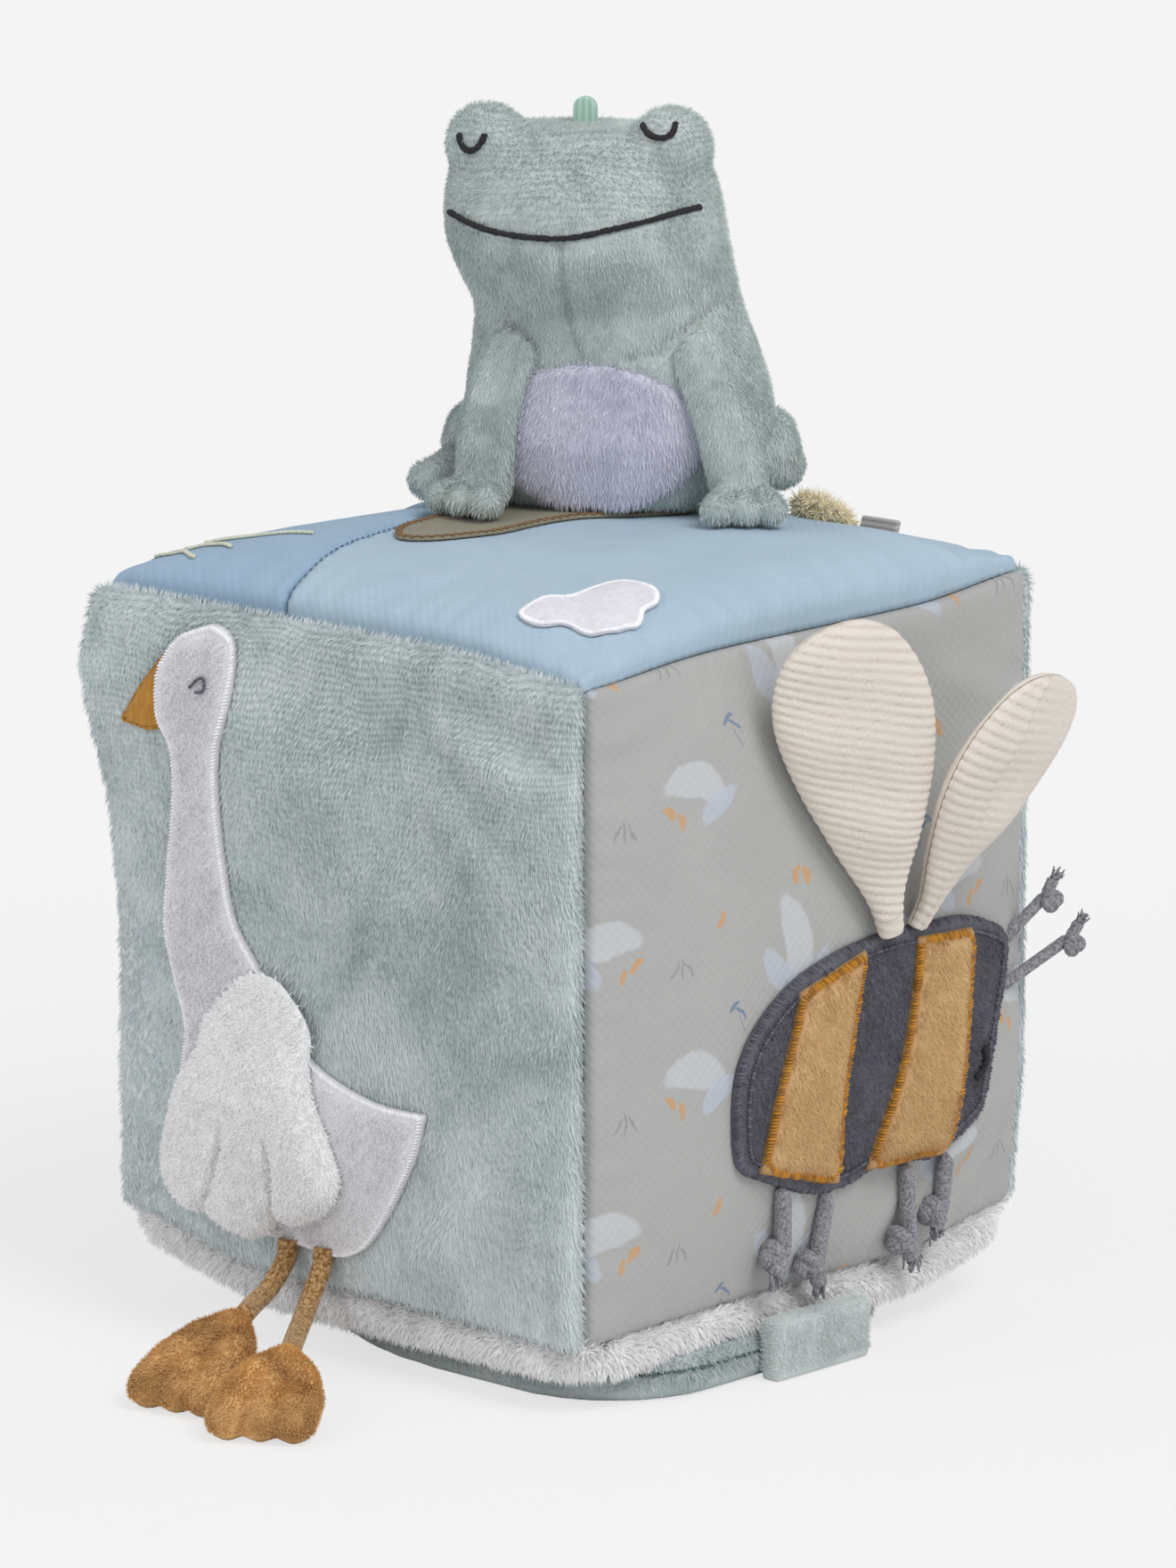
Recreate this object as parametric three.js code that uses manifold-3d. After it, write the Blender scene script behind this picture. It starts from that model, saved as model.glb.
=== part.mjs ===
// A soft activity cube for a baby: a stuffed fabric cube whose faces carry a goose, a bee and a pond,
// with a stuffed frog that sits on the pond. Millimetres, +Z up. The origin is the middle of the base's
// underside. The goose is on the -Y face, the bee on the +X face.
import * as THREE from "three";
import Module from "manifold-3d";
import { mergeVertices } from "three/addons/utils/BufferGeometryUtils.js";

const wasm = await Module();
wasm.setup();

// Driving dimensions.
const cubeWidth = 145; // seam to seam, across and front to back
const cubeHeight = 150; // bottom seam to top seam
const topCrown = 15.5; // how far the stuffing lifts the middle of the top above its seams
const sideCrown = 7;
const bottomCrown = 7.2;
const edgeDraw = 2; // how far the middle of a seam is drawn in between its corners
const cornerSpread = 48; // how far a corner's extra stuffing reaches along the cube
const gooseCornerReach = 7; // how far the corner by the goose's head stands out
const beeCornerReach = 5; // how far the corner behind the bee's wings stands up
const panelThickness = 2.4; // cloth with its padding
const fitGap = 0.3; // between pieces that touch
const seamGap = 0.3; // between two panels at their seam
const panelSteps = 8; // facets along each side of a panel

const basePadWidth = 136;
const basePadDepth = 134;
const basePadThickness = 6; // under the middle of the cube
const basePadRim = 9.5; // where it is plump, outside the middle
const basePadCorner = 30; // the corner between the goose and the bee, and the one behind it
const basePadSideCorner = 80;
const basePadRound = 2.2;
const basePadShift = 10; // towards the bee, where the strap pulls it
const strapWidth = 30;
const strapHeight = 13;
const strapThickness = 6;
const strapRound = 1.6;
const strapAcross = -7; // from the middle of the bee face

const appliqueThickness = 1.6;
const patchThickness = 0.8;
const threadWidth = 1.5; // an embroidered line
const threadHeight = 0.9;

const gooseWidth = 84;
const gooseHeight = 134;
const gooseAcross = -9.7; // the middle of the goose, from the middle of its face
const gooseUp = 3;
const beakLength = 9.5;
const beakHeight = 14;
const gooseWingLength = 58;
const gooseWingWidth = 56;
const gooseWingThickness = 8;
const gooseLegDiameter = 4.6;
const footLength = 33;
const footWidth = 24;
const footThickness = 10;

const beeWidth = 94;
const beeHeight = 56;
const beeAcross = 14.1;
const beeUp = -21.9;
const stripeThickness = 1.4;
const beeWingLength = 81;
const beeWingWidth = 36;
const beeWingThickness = 9;
const beeWingStalk = 6; // width at the root
const beeWingSpread = { left: 1, right: 11.5 }; // how far forward of the bee's middle each is sewn on
const beeLegDiameter = 4.4;
const beeLegLength = 13; // from the body to the knot
const knotDiameter = 8.5;
const antennaDiameter = 3.4;
const antennaLength = 13;
const antennaKnotDiameter = 6.4;
const tailLength = 6; // the frayed end past a knot

const cloudWidth = 21.5;
const cloudDepth = 31.5;
const lilyWidth = 48;
const lilyLength = 92;
const terryWidth = 13;
const terryDepth = 11;
const terryThickness = 5;
const ribbonWidth = 11;
const ribbonLength = 11.5;
const ribbonThickness = 1.4;

const frogHeight = 83; // to the top of the head between the eyes
const frogWidth = 61;
const frogDepth = 52;
const eyeBump = 8.8; // radius
const eyeSpacing = 42;
const bellyWidth = 49;
const bellyHeight = 33;
const bellyThickness = 1.6;
const armRadius = 6.6;
const armLength = 31; // shoulder to palm
const thighRadius = 11;
const hindFootRadius = 5.4;
const hindFootLength = 19;
const toeRadius = 4;
const handLength = 10;
const loopWidth = 5.4;
const loopHeight = 7;
const loopThickness = 2.4;
const frogTurn = 31; // degrees from the goose face towards the bee face
const frogHeadTurn = 2; // degrees from the body
const frogAcross = -20;
const frogBack = 27;

const overrun = 60; // how far a cutting prism runs past what it cuts

// Worked out from the above.
const halfWidth = cubeWidth / 2;
const halfHeight = cubeHeight / 2;
const bottomSeam = basePadThickness + fitGap + bottomCrown;
const cubeMiddle = bottomSeam + halfHeight;
const topSeam = bottomSeam + cubeHeight;

const faces = {
  goose: { normal: [0, -1, 0], across: [1, 0, 0], up: [0, 0, 1], crown: sideCrown, fullness: 4 },
  bee: { normal: [1, 0, 0], across: [0, 1, 0], up: [0, 0, 1], crown: sideCrown, fullness: 4 },
  back: { normal: [0, 1, 0], across: [-1, 0, 0], up: [0, 0, 1], crown: sideCrown, fullness: 4 },
  side: { normal: [-1, 0, 0], across: [0, -1, 0], up: [0, 0, 1], crown: sideCrown, fullness: 4 },
  top: { normal: [0, 0, 1], across: [1, 0, 0], up: [0, 1, 0], crown: topCrown, fullness: 6 },
  bottom: { normal: [0, 0, -1], across: [1, 0, 0], up: [0, -1, 0], crown: bottomCrown, fullness: 4 },
};

// Two corners hold more stuffing than the rest. Each stands out along its own direction.
const proudCorners = [
  { at: [-halfWidth, -halfWidth, topSeam], directionShares: [-0.8, -0.5, -0.33], reach: gooseCornerReach },
  { at: [halfWidth, halfWidth, topSeam], directionShares: [0.3, 0.3, 0.9], reach: beeCornerReach },
];

const cloth = {
  foam: [0xe9e4d6, 0.95],
  sagePlush: [0xa9b7ae, 1],
  printedCotton: [0xc9c8c0, 0.9],
  blueCotton: [0xa5c3d7, 0.9],
  waterCotton: [0x8cafd2, 0.9],
  whiteFur: [0xe6e1df, 1],
  whitePlush: [0xdcdbe0, 1],
  whiteTerry: [0xe4e3e1, 1],
  whiteThread: [0xe9e6ec, 0.6],
  ochreThread: [0xb47d1e, 0.6],
  ochreCord: [0xaf824b, 0.9],
  footPlush: [0xc89b5f, 1],
  greyVelour: [0x5f5f64, 1],
  tanVelour: [0xc3a069, 1],
  greyCord: [0x78767d, 0.9],
  creamCorduroy: [0xf0e4d4, 1],
  creamVelour: [0xeadccb, 1],
  oliveCloth: [0x8c8773, 0.9],
  beigeTerry: [0xd9c8a0, 1],
  creamThread: [0xdfe0cc, 0.7],
  greyRibbon: [0xb8b3b2, 0.5],
  frogPlush: [0x96a5a0, 1],
  bellyPlush: [0xb9b9c8, 1],
  mintRibbon: [0x9ec4b2, 0.7],
};

// Solids. A closed geometry becomes a manifold that can be joined and cut, and goes back to a geometry.
function toSolid(geometry) {
  const bare = new THREE.BufferGeometry();
  bare.setAttribute("position", geometry.getAttribute("position"));
  if (geometry.index) bare.setIndex(geometry.index);
  const merged = mergeVertices(bare, 1e-4);
  return new wasm.Manifold(
    new wasm.Mesh({
      numProp: 3,
      vertProperties: merged.attributes.position.array,
      triVerts: new Uint32Array(merged.index.array),
    }),
  );
}

function toGeometry(solid) {
  const mesh = solid.getMesh();
  const geometry = new THREE.BufferGeometry();
  const position = new THREE.BufferAttribute(new Float32Array(mesh.vertProperties), 3);
  geometry.setAttribute("position", position);
  geometry.setIndex(new THREE.BufferAttribute(new Uint32Array(mesh.triVerts), 1));
  return geometry;
}

function placed(geometry, matrix) {
  return geometry.clone().applyMatrix4(matrix);
}

// The stuffed cube's skin. u and v run from -1 to 1 over a face. The stuffing lifts the middle by the
// face's crown, and each seam is drawn in between its corners.
function halfAlong(axis) {
  return axis[2] === 0 ? halfWidth : halfHeight;
}

function skinPoint(face, u, v, inset, lift, trim) {
  const out = halfAlong(face.normal) - inset;
  const wide = halfAlong(face.across) - inset;
  const tall = halfAlong(face.up) - inset;
  const bulge = face.crown * (1 - Math.abs(u) ** face.fullness) * (1 - Math.abs(v) ** face.fullness);
  const drawn = edgeDraw * (u ** 4 * (1 - v ** 2) + v ** 4 * (1 - u ** 2));
  const acrossBy = (wide * u - edgeDraw * u ** 3 * (1 - v ** 2)) * (1 - trim / wide);
  const upBy = (tall * v - edgeDraw * v ** 3 * (1 - u ** 2)) * (1 - trim / tall);
  const point = new THREE.Vector3(0, 0, cubeMiddle)
    .addScaledVector(new THREE.Vector3(...face.normal), out + bulge - drawn + lift)
    .addScaledVector(new THREE.Vector3(...face.across), acrossBy)
    .addScaledVector(new THREE.Vector3(...face.up), upBy);
  const still = point.clone();
  for (const { at, directionShares, reach } of proudCorners) {
    const near = Math.max(0, 1 - still.distanceTo(new THREE.Vector3(...at)) / cornerSpread);
    point.addScaledVector(new THREE.Vector3(...directionShares), reach * near * near * (3 - 2 * near));
  }
  return point;
}

// One layer over a face, between two levels of its skin. Level = { inset, lift }.
const mitre = seamGap / Math.SQRT2;

function layer(face, outer, inner) {
  const row = panelSteps + 1;
  const points = [];
  const triangles = [];
  for (const level of [outer, inner]) {
    for (let j = 0; j < row; j++) {
      for (let i = 0; i < row; i++) {
        const u = (2 * i) / panelSteps - 1;
        const v = (2 * j) / panelSteps - 1;
        points.push(...skinPoint(face, u, v, level.inset, level.lift, mitre).toArray());
      }
    }
  }
  const quad = (a, b, c, d) => triangles.push(a, b, c, a, c, d);
  const under = row * row;
  for (let j = 0; j < panelSteps; j++) {
    for (let i = 0; i < panelSteps; i++) {
      const a = j * row + i;
      const b = a + 1;
      const c = a + row + 1;
      const d = a + row;
      quad(a, b, c, d);
      triangles.push(under + a, under + c, under + b, under + a, under + d, under + c);
    }
  }
  for (let i = 0; i < panelSteps; i++) {
    const low = i;
    const high = panelSteps * row + i;
    const left = i * row;
    const right = i * row + panelSteps;
    quad(under + low, under + low + 1, low + 1, low);
    quad(high, high + 1, under + high + 1, under + high);
    quad(left, left + row, under + left + row, under + left);
    quad(under + right, under + right + row, right + row, right);
  }
  return closedMesh(points, triangles);
}

function closedMesh(points, triangles) {
  const geometry = new THREE.BufferGeometry();
  geometry.setAttribute("position", new THREE.Float32BufferAttribute(points, 3));
  geometry.setIndex(triangles);
  return geometry;
}

const skin = (lift) => ({ inset: 0, lift });

// Everything inside the skin, out to a level, as one closed body.
function blockWithin(inset) {
  const points = [];
  for (const face of Object.values(faces)) {
    for (let j = 0; j < panelSteps; j++) {
      for (let i = 0; i < panelSteps; i++) {
        const corner = (di, dj) => {
          const u = (2 * (i + di)) / panelSteps - 1;
          const v = (2 * (j + dj)) / panelSteps - 1;
          return skinPoint(face, u, v, inset, 0, 0).toArray();
        };
        const [a, b, c, d] = [corner(0, 0), corner(1, 0), corner(1, 1), corner(0, 1)];
        points.push(...a, ...b, ...c, ...a, ...c, ...d);
      }
    }
  }
  const geometry = new THREE.BufferGeometry();
  geometry.setAttribute("position", new THREE.Float32BufferAttribute(points, 3));
  return geometry;
}

// Flat outlines, drawn in a face's own across and up, from the middle of the face. Each stretch is a
// smooth curve through its points, and stretches meet at corners.
function outline(stretches, stepsBetween = 3) {
  const all = [];
  for (const stretch of stretches) {
    const curve = new THREE.SplineCurve(stretch.map(([x, y]) => new THREE.Vector2(x, y)));
    const points = curve.getPoints(stepsBetween * (stretch.length - 1));
    all.push(...points.slice(0, -1));
  }
  return all;
}

function boxed(shares, width, height, acrossBy, upBy) {
  return shares.map(([x, y]) => [acrossBy + (x - 0.5) * width, upBy + (y - 0.5) * height]);
}

function prism(points, face) {
  const reach = halfAlong(face.normal) + face.crown + overrun;
  const geometry = new THREE.ExtrudeGeometry(new THREE.Shape(points), {
    depth: reach,
    bevelEnabled: false,
    curveSegments: 1,
  });
  const basis = new THREE.Matrix4().makeBasis(
    new THREE.Vector3(...face.across),
    new THREE.Vector3(...face.up),
    new THREE.Vector3(...face.normal),
  );
  basis.setPosition(0, 0, cubeMiddle);
  return toSolid(placed(geometry, basis));
}

// Cloth laid on a face: the part of a layer that lies inside an outline.
function patch(face, points, lift, thickness) {
  const sheet = toSolid(layer(face, skin(lift + thickness), skin(lift)));
  return sheet.intersect(prism(points, face));
}

// A line of thread: a band round an open curve.
function band(line, width) {
  const curve = new THREE.SplineCurve(line.map(([x, y]) => new THREE.Vector2(x, y)));
  const steps = 4 * (line.length - 1);
  const left = [];
  const right = [];
  for (let i = 0; i <= steps; i++) {
    const point = curve.getPoint(i / steps);
    const along = curve.getTangent(i / steps);
    const side = new THREE.Vector2(-along.y, along.x).multiplyScalar(width / 2);
    left.push(point.clone().add(side));
    right.unshift(point.clone().sub(side));
  }
  return [...left, ...right];
}

// Where a point of a face lies on the skin, by distance across and up from the face's middle.
function onSkin(face, acrossBy, upBy, lift) {
  const u = acrossBy / halfAlong(face.across);
  const v = upBy / halfAlong(face.up);
  return skinPoint(face, u, v, 0, lift, 0);
}

// Stuffed forms. The skin of each runs over rings of points, and closes at a tip at each end.
function overRings(rings, firstTip, lastTip) {
  const sides = rings[0].length;
  const points = [...rings.flat(), firstTip, lastTip].flatMap((point) => point.toArray());
  const foot = rings.length * sides;
  const top = foot - sides;
  const triangles = [];
  for (let i = 0; i < sides; i++) {
    const next = (i + 1) % sides;
    triangles.push(foot, next, i);
    triangles.push(foot + 1, top + i, top + next);
    for (let low = 0; low < top; low += sides) {
      const high = low + sides;
      triangles.push(low + i, low + next, high + next, low + i, high + next, high + i);
    }
  }
  return closedMesh(points, triangles);
}

// A loft's rings lie one above the other: { at, x, y, halfX, halfY }.
function loft(rings, sides) {
  const centre = (ring) => new THREE.Vector3(ring.x, ring.y, ring.at);
  const around = rings.map((ring) => {
    return Array.from({ length: sides }, (_, i) => {
      const turn = (2 * Math.PI * i) / sides;
      const out = new THREE.Vector3(ring.halfX * Math.cos(turn), ring.halfY * Math.sin(turn), 0);
      return centre(ring).add(out);
    });
  });
  return overRings(around, centre(rings[0]), centre(rings[rings.length - 1]));
}

// A limb is round along a curve. Its radius changes on the way, and its ends are rounded.
const capShares = [0.5, 0.87]; // where the rings of a rounded end lie

function limb(path, radii, sides, steps) {
  const curve = new THREE.CatmullRomCurve3(path.map((point) => new THREE.Vector3(...point)));
  const frames = curve.computeFrenetFrames(steps, false);
  const last = radii.length - 1;
  const ringAt = (step, shift, radius) => {
    const centre = curve.getPoint(step / steps).addScaledVector(frames.tangents[step], shift);
    return Array.from({ length: sides }, (_, i) => {
      const turn = (2 * Math.PI * i) / sides;
      return centre
        .clone()
        .addScaledVector(frames.normals[step], radius * Math.cos(turn))
        .addScaledVector(frames.binormals[step], radius * Math.sin(turn));
    });
  };
  const rings = capShares.map((share) => ringAt(0, -radii[0] * share, radii[0] * Math.sqrt(1 - share ** 2)));
  rings.reverse();
  for (let step = 0; step <= steps; step++) {
    const place = (step / steps) * last;
    const low = Math.min(Math.floor(place), last - 1);
    rings.push(ringAt(step, 0, THREE.MathUtils.lerp(radii[low], radii[low + 1], place - low)));
  }
  for (const share of capShares) {
    rings.push(ringAt(steps, radii[last] * share, radii[last] * Math.sqrt(1 - share ** 2)));
  }
  const firstTip = curve.getPoint(0).addScaledVector(frames.tangents[0], -radii[0]);
  const lastTip = curve.getPoint(1).addScaledVector(frames.tangents[steps], radii[last]);
  return overRings(rings, firstTip, lastTip);
}

function ball(radius, at) {
  const geometry = new THREE.SphereGeometry(radius, 10, 7);
  geometry.translate(...at);
  return toSolid(geometry);
}

// A cord, with flat ends.
function cordTube(points, diameter, sides, steps) {
  const curve = new THREE.CatmullRomCurve3(points.map((point) => new THREE.Vector3(...point)));
  const round = Array.from({ length: sides }, (_, i) => {
    const turn = (2 * Math.PI * i) / sides;
    return new THREE.Vector2(Math.cos(turn), Math.sin(turn)).multiplyScalar(diameter / 2);
  });
  const shape = new THREE.Shape(round);
  return new THREE.ExtrudeGeometry(shape, { steps, extrudePath: curve, bevelEnabled: false });
}

// A short cord with a knot in it and a frayed tail below the knot.
function knotted(start, knot, end, diameter, knotWidth) {
  const radius = diameter / 2;
  const cord = toSolid(limb([start, knot, end], [radius, radius, radius], 8, 4));
  return cord.add(ball(knotWidth / 2, knot));
}

function joined(solids) {
  return solids.reduce((whole, next) => whole.add(next));
}

// What a fixed solid leaves of a piece that turns next to it: the piece loses what would meet it at
// each of the angles, and keeps its clearance there.
function clearedWhileTurning(piece, fixed, pivot, axis, degrees) {
  let left = piece;
  for (const angle of degrees) {
    const turn = new THREE.Matrix4().makeTranslation(...pivot);
    turn.multiply(new THREE.Matrix4().makeRotationAxis(axis, THREE.MathUtils.degToRad(-angle)));
    turn.multiply(new THREE.Matrix4().makeTranslation(...pivot.map((place) => -place)));
    left = left.subtract(toSolid(placed(toGeometry(fixed), turn)));
  }
  return left;
}

// The main body of a solid whose clearance cuts have left crumbs.
function largest(solid) {
  return solid.decompose().reduce((best, next) => (next.volume() > best.volume() ? next : best));
}

const toy = new THREE.Group();

function add(name, solid, look, parent = toy) {
  const geometry = solid.isBufferGeometry ? solid : toGeometry(solid);
  const [color, roughness] = cloth[look];
  const material = new THREE.MeshStandardMaterial({ color, roughness, metalness: 0 });
  const mesh = new THREE.Mesh(geometry, material);
  mesh.name = name;
  parent.add(mesh);
  return mesh;
}

// The foam block and the panels sewn over it. The top is two pieces of cotton, joined by a seam.
add("foam_core", blockWithin(panelThickness + fitGap), "foam");
const panel = (face) => layer(face, { inset: 0, lift: 0 }, { inset: panelThickness, lift: 0 });
add("goose_panel", panel(faces.goose), "sagePlush");
add("bee_panel", panel(faces.bee), "printedCotton");
add("back_panel", panel(faces.back), "sagePlush");
add("side_panel", panel(faces.side), "printedCotton");
add("bottom_panel", panel(faces.bottom), "whiteFur");

const seamShares = [
  [-0.25, -1.2], [-0.27, -0.93], [-0.31, -0.75], [-0.38, -0.47], [-0.43, -0.26], [-0.5, 0.14], [-0.55, 1.2],
];
const seamLine = (shift) => {
  const line = seamShares.map(([x, y]) => new THREE.Vector2(x * halfWidth + shift, y * halfWidth));
  return new THREE.SplineCurve(line).getPoints(14);
};
const beyond = halfWidth + overrun;
const farCorners = (side) => [beyond, -beyond].map((y) => new THREE.Vector2(side * beyond, y));
const topBlank = toSolid(panel(faces.top));
const skySide = prism([...seamLine(seamGap / 2), ...farCorners(1)], faces.top);
const waterSide = prism([...seamLine(-seamGap / 2), ...farCorners(-1)], faces.top);
add("top_panel", topBlank.intersect(skySide), "blueCotton");
add("top_water_panel", topBlank.intersect(waterSide), "waterCotton");

// The padded base that the cube stands on. The cube's bottom is bedded in it. The end of its strap
// is folded up under the bee.
function roundedRectangle(width, depth, corner, sideCorner) {
  const shape = new THREE.Shape();
  const quarter = Math.PI / 2;
  shape.absarc(width / 2 - corner, corner - depth / 2, corner, -quarter, 0);
  shape.absarc(width / 2 - sideCorner, depth / 2 - sideCorner, sideCorner, 0, quarter);
  shape.absarc(corner - width / 2, depth / 2 - corner, corner, quarter, 2 * quarter);
  shape.absarc(sideCorner - width / 2, sideCorner - depth / 2, sideCorner, 2 * quarter, 3 * quarter);
  return shape;
}

const cubeSpace = toSolid(blockWithin(-fitGap));
const basePadShape = roundedRectangle(
  basePadWidth - 2 * basePadRound,
  basePadDepth - 2 * basePadRound,
  basePadCorner - basePadRound,
  basePadSideCorner - basePadRound,
);
const basePad = new THREE.ExtrudeGeometry(basePadShape, {
  depth: basePadRim - 2 * basePadRound,
  bevelThickness: basePadRound,
  bevelSize: basePadRound,
  bevelSegments: 2,
  curveSegments: 5,
});
basePad.translate(basePadShift, 0, basePadRound);
const basePadSolid = toSolid(basePad).subtract(cubeSpace);
add("base_pad", basePadSolid, "sagePlush");

const strapShape = new THREE.Shape();
const strapIn = strapWidth / 2 - strapRound;
const strapRise = strapHeight - 2 * strapRound;
strapShape.moveTo(-strapIn, 0).lineTo(strapIn, 0).lineTo(strapIn, strapRise).lineTo(-strapIn, strapRise);
const strapEnd = new THREE.ExtrudeGeometry(strapShape, {
  depth: strapThickness - 2 * strapRound,
  bevelThickness: strapRound,
  bevelSize: strapRound,
  bevelSegments: 2,
});
strapEnd.rotateX(Math.PI / 2).rotateZ(Math.PI / 2);
const strapFace = basePadShift + basePadWidth / 2 + fitGap + strapRound;
strapEnd.translate(strapFace, strapAcross, strapRound + fitGap);
add("strap_end", toSolid(strapEnd).subtract(cubeSpace), "sagePlush");

// What is sewn on the top: the lily pad, the cloud, three embroidered reeds and a tuft of terry.
const top = faces.top;
const lilyShares = [
  [0.48, 0], [0.67, 0.04], [0.75, 0.18], [0.73, 0.34], [0.77, 0.49], [0.93, 0.66], [1, 0.81], [0.88, 0.95],
  [0.52, 1], [0.17, 0.95], [0, 0.77], [0.04, 0.58], [0.19, 0.4], [0.23, 0.25], [0.29, 0.1], [0.48, 0],
];
const lilyAcross = -16;
const lilyBack = 9;
const lilyOutline = outline([boxed(lilyShares, lilyWidth, lilyLength, lilyAcross, lilyBack)], 2);
add("lily_pad", patch(top, lilyOutline, fitGap, patchThickness), "oliveCloth");

const cloudShares = [
  [0, 0.03], [0.02, 0.26], [0.11, 0.56], [0.25, 0.91], [0.56, 1], [0.81, 0.87], [0.87, 0.68], [1, 0.54],
  [0.99, 0.35], [0.85, 0.2], [0.57, 0.13], [0.4, 0], [0, 0.03],
];
const cloudAcross = 54.8;
const cloudBack = -48;
const cloudOutline = outline([boxed(cloudShares, cloudWidth, cloudDepth, cloudAcross, cloudBack)], 2);
add("cloud_patch", patch(top, cloudOutline, fitGap, patchThickness), "whiteThread");

const reedEndShares = [
  [[-0.83, -0.74], [-0.49, -0.63]],
  [[-0.83, -0.81], [-0.64, -0.83]],
  [[-0.9, -0.86], [-0.7, -0.91]],
];
reedEndShares.forEach((ends, k) => {
  const [start, end] = ends.map((place) => place.map((share) => share * halfWidth));
  const middle = [(start[0] + end[0]) / 2, (start[1] + end[1]) / 2 + threadWidth];
  const line = band([start, middle, end], threadWidth);
  add("reed_" + (k + 1), patch(top, line, fitGap, threadHeight), "creamThread");
});

const terryShares = [
  [0, 0.5], [0.12, 0.1], [0.5, 0], [0.88, 0.1], [1, 0.5], [0.85, 0.92], [0.5, 1], [0.14, 0.9], [0, 0.5],
];
const terryAcross = 25;
const terryBack = 58;
const terryOutline = outline([boxed(terryShares, terryWidth, terryDepth, terryAcross, terryBack)], 2);
add("terry_tuft", patch(top, terryOutline, fitGap, terryThickness), "beigeTerry");

// A folded ribbon sewn into the top seam of the back.
const ribbonAcross = 33;
const ribbonShape = new THREE.Shape();
ribbonShape.moveTo(0, -ribbonThickness / 2).lineTo(ribbonLength, -ribbonThickness / 2);
ribbonShape.absarc(ribbonLength, 0, ribbonThickness / 2, -Math.PI / 2, Math.PI / 2);
ribbonShape.lineTo(0, ribbonThickness / 2);
const ribbonSetting = { depth: ribbonWidth, bevelEnabled: false, curveSegments: 4 };
const ribbon = new THREE.ExtrudeGeometry(ribbonShape, ribbonSetting);
ribbon.rotateY(-Math.PI / 2).rotateX(-Math.PI / 9);
const ribbonRoot = skinPoint(faces.back, -ribbonAcross / halfWidth, 1, 0, 0, 0);
ribbon.translate(ribbonAcross, ribbonRoot.y, ribbonRoot.z);
add("ribbon_tab", toSolid(ribbon).subtract(cubeSpace), "greyRibbon");

// The goose: a plush body with an embroidered beak.
const goose = faces.goose;
const gooseShares = [
  [1, 0.282], [0.965, 0.21], [0.88, 0.115], [0.794, 0.044], [0.707, 0.008], [0.603, 0], [0.5, 0.007],
  [0.378, 0.015], [0.247, 0.038], [0.147, 0.091], [0.085, 0.168], [0.07, 0.245], [0.1, 0.338],
  [0.055, 0.426], [0.025, 0.5], [0.04, 0.6], [0.065, 0.723], [0.07, 0.806], [0.035, 0.85], [0.028, 0.9],
  [0.04, 0.945], [0.08, 0.978], [0.187, 1], [0.264, 0.995], [0.292, 0.967], [0.283, 0.896],
  [0.247, 0.816], [0.241, 0.738], [0.257, 0.647], [0.3, 0.543], [0.387, 0.474], [0.54, 0.365],
  [0.661, 0.315], [0.83, 0.284], [1, 0.282],
];
const gooseOutline = outline([boxed(gooseShares, gooseWidth, gooseHeight, gooseAcross, gooseUp)], 1);
const gooseBody = patch(goose, gooseOutline, fitGap, appliqueThickness);
add("goose_body", gooseBody, "whitePlush");

const beakRootShare = 0.9; // how high on the goose the beak is
const beakDroopShare = 0.6; // how far the tip is below the root, in beak heights
const beakInShare = 0.03; // how far the face is in from the goose's box
const beakAcross = gooseAcross - gooseWidth * (0.5 - beakInShare);
const beakUp = gooseUp + (beakRootShare - 0.5) * gooseHeight;
const beakOutline = [
  new THREE.Vector2(beakAcross + beakLength / 3, beakUp + beakHeight / 2),
  new THREE.Vector2(beakAcross - beakLength, beakUp - beakDroopShare * beakHeight),
  new THREE.Vector2(beakAcross + beakLength / 3, beakUp - beakHeight / 2),
];
const gooseSpaceWidth = gooseWidth + 2 * fitGap;
const gooseSpaceHeight = gooseHeight + 2 * fitGap;
const gooseSpace = outline([boxed(gooseShares, gooseSpaceWidth, gooseSpaceHeight, gooseAcross, gooseUp)], 1);
const beak = patch(goose, beakOutline, fitGap, appliqueThickness).subtract(prism(gooseSpace, goose));
add("goose_beak", beak, "ochreThread");

// The goose's wing: three stuffed feathers, sewn together, that hang from a seam across its back.
const wingTopAcross = -20;
const wingTopUp = -4;
const wingRound = gooseWingThickness / 2;
const onGoose = halfWidth + sideCrown + appliqueThickness + 2 * fitGap;
const featherRadius = gooseWingWidth / 6;
const featherRootShare = 0.75; // of the feather's radius
const featherTipShares = [[-0.34, 0.97], [0, 1], [0.32, 0.87]]; // across, and down the wing
const feathers = featherTipShares.map(([spread, fall]) => {
  const tip = [spread * gooseWingWidth, fall * gooseWingLength - featherRadius - wingRound];
  const rootRadius = featherRootShare * featherRadius;
  const rise = wingRound - rootRadius;
  const path = [[tip[0] / 3, 0, rise], [(tip[0] * 2) / 3, 0, -tip[1] / 2], [tip[0], 0, -tip[1]]];
  const feather = limb(path, [rootRadius, featherRadius, featherRadius], 10, 5);
  feather.scale(1, wingRound / featherRadius, 1);
  return toSolid(feather);
});
const gooseWing = new THREE.Group();
gooseWing.position.set(wingTopAcross, -(onGoose + wingRound), cubeMiddle + wingTopUp - wingRound);
toy.add(gooseWing);
add("goose_wing", joined(feathers), "whiteTerry", gooseWing);

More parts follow.
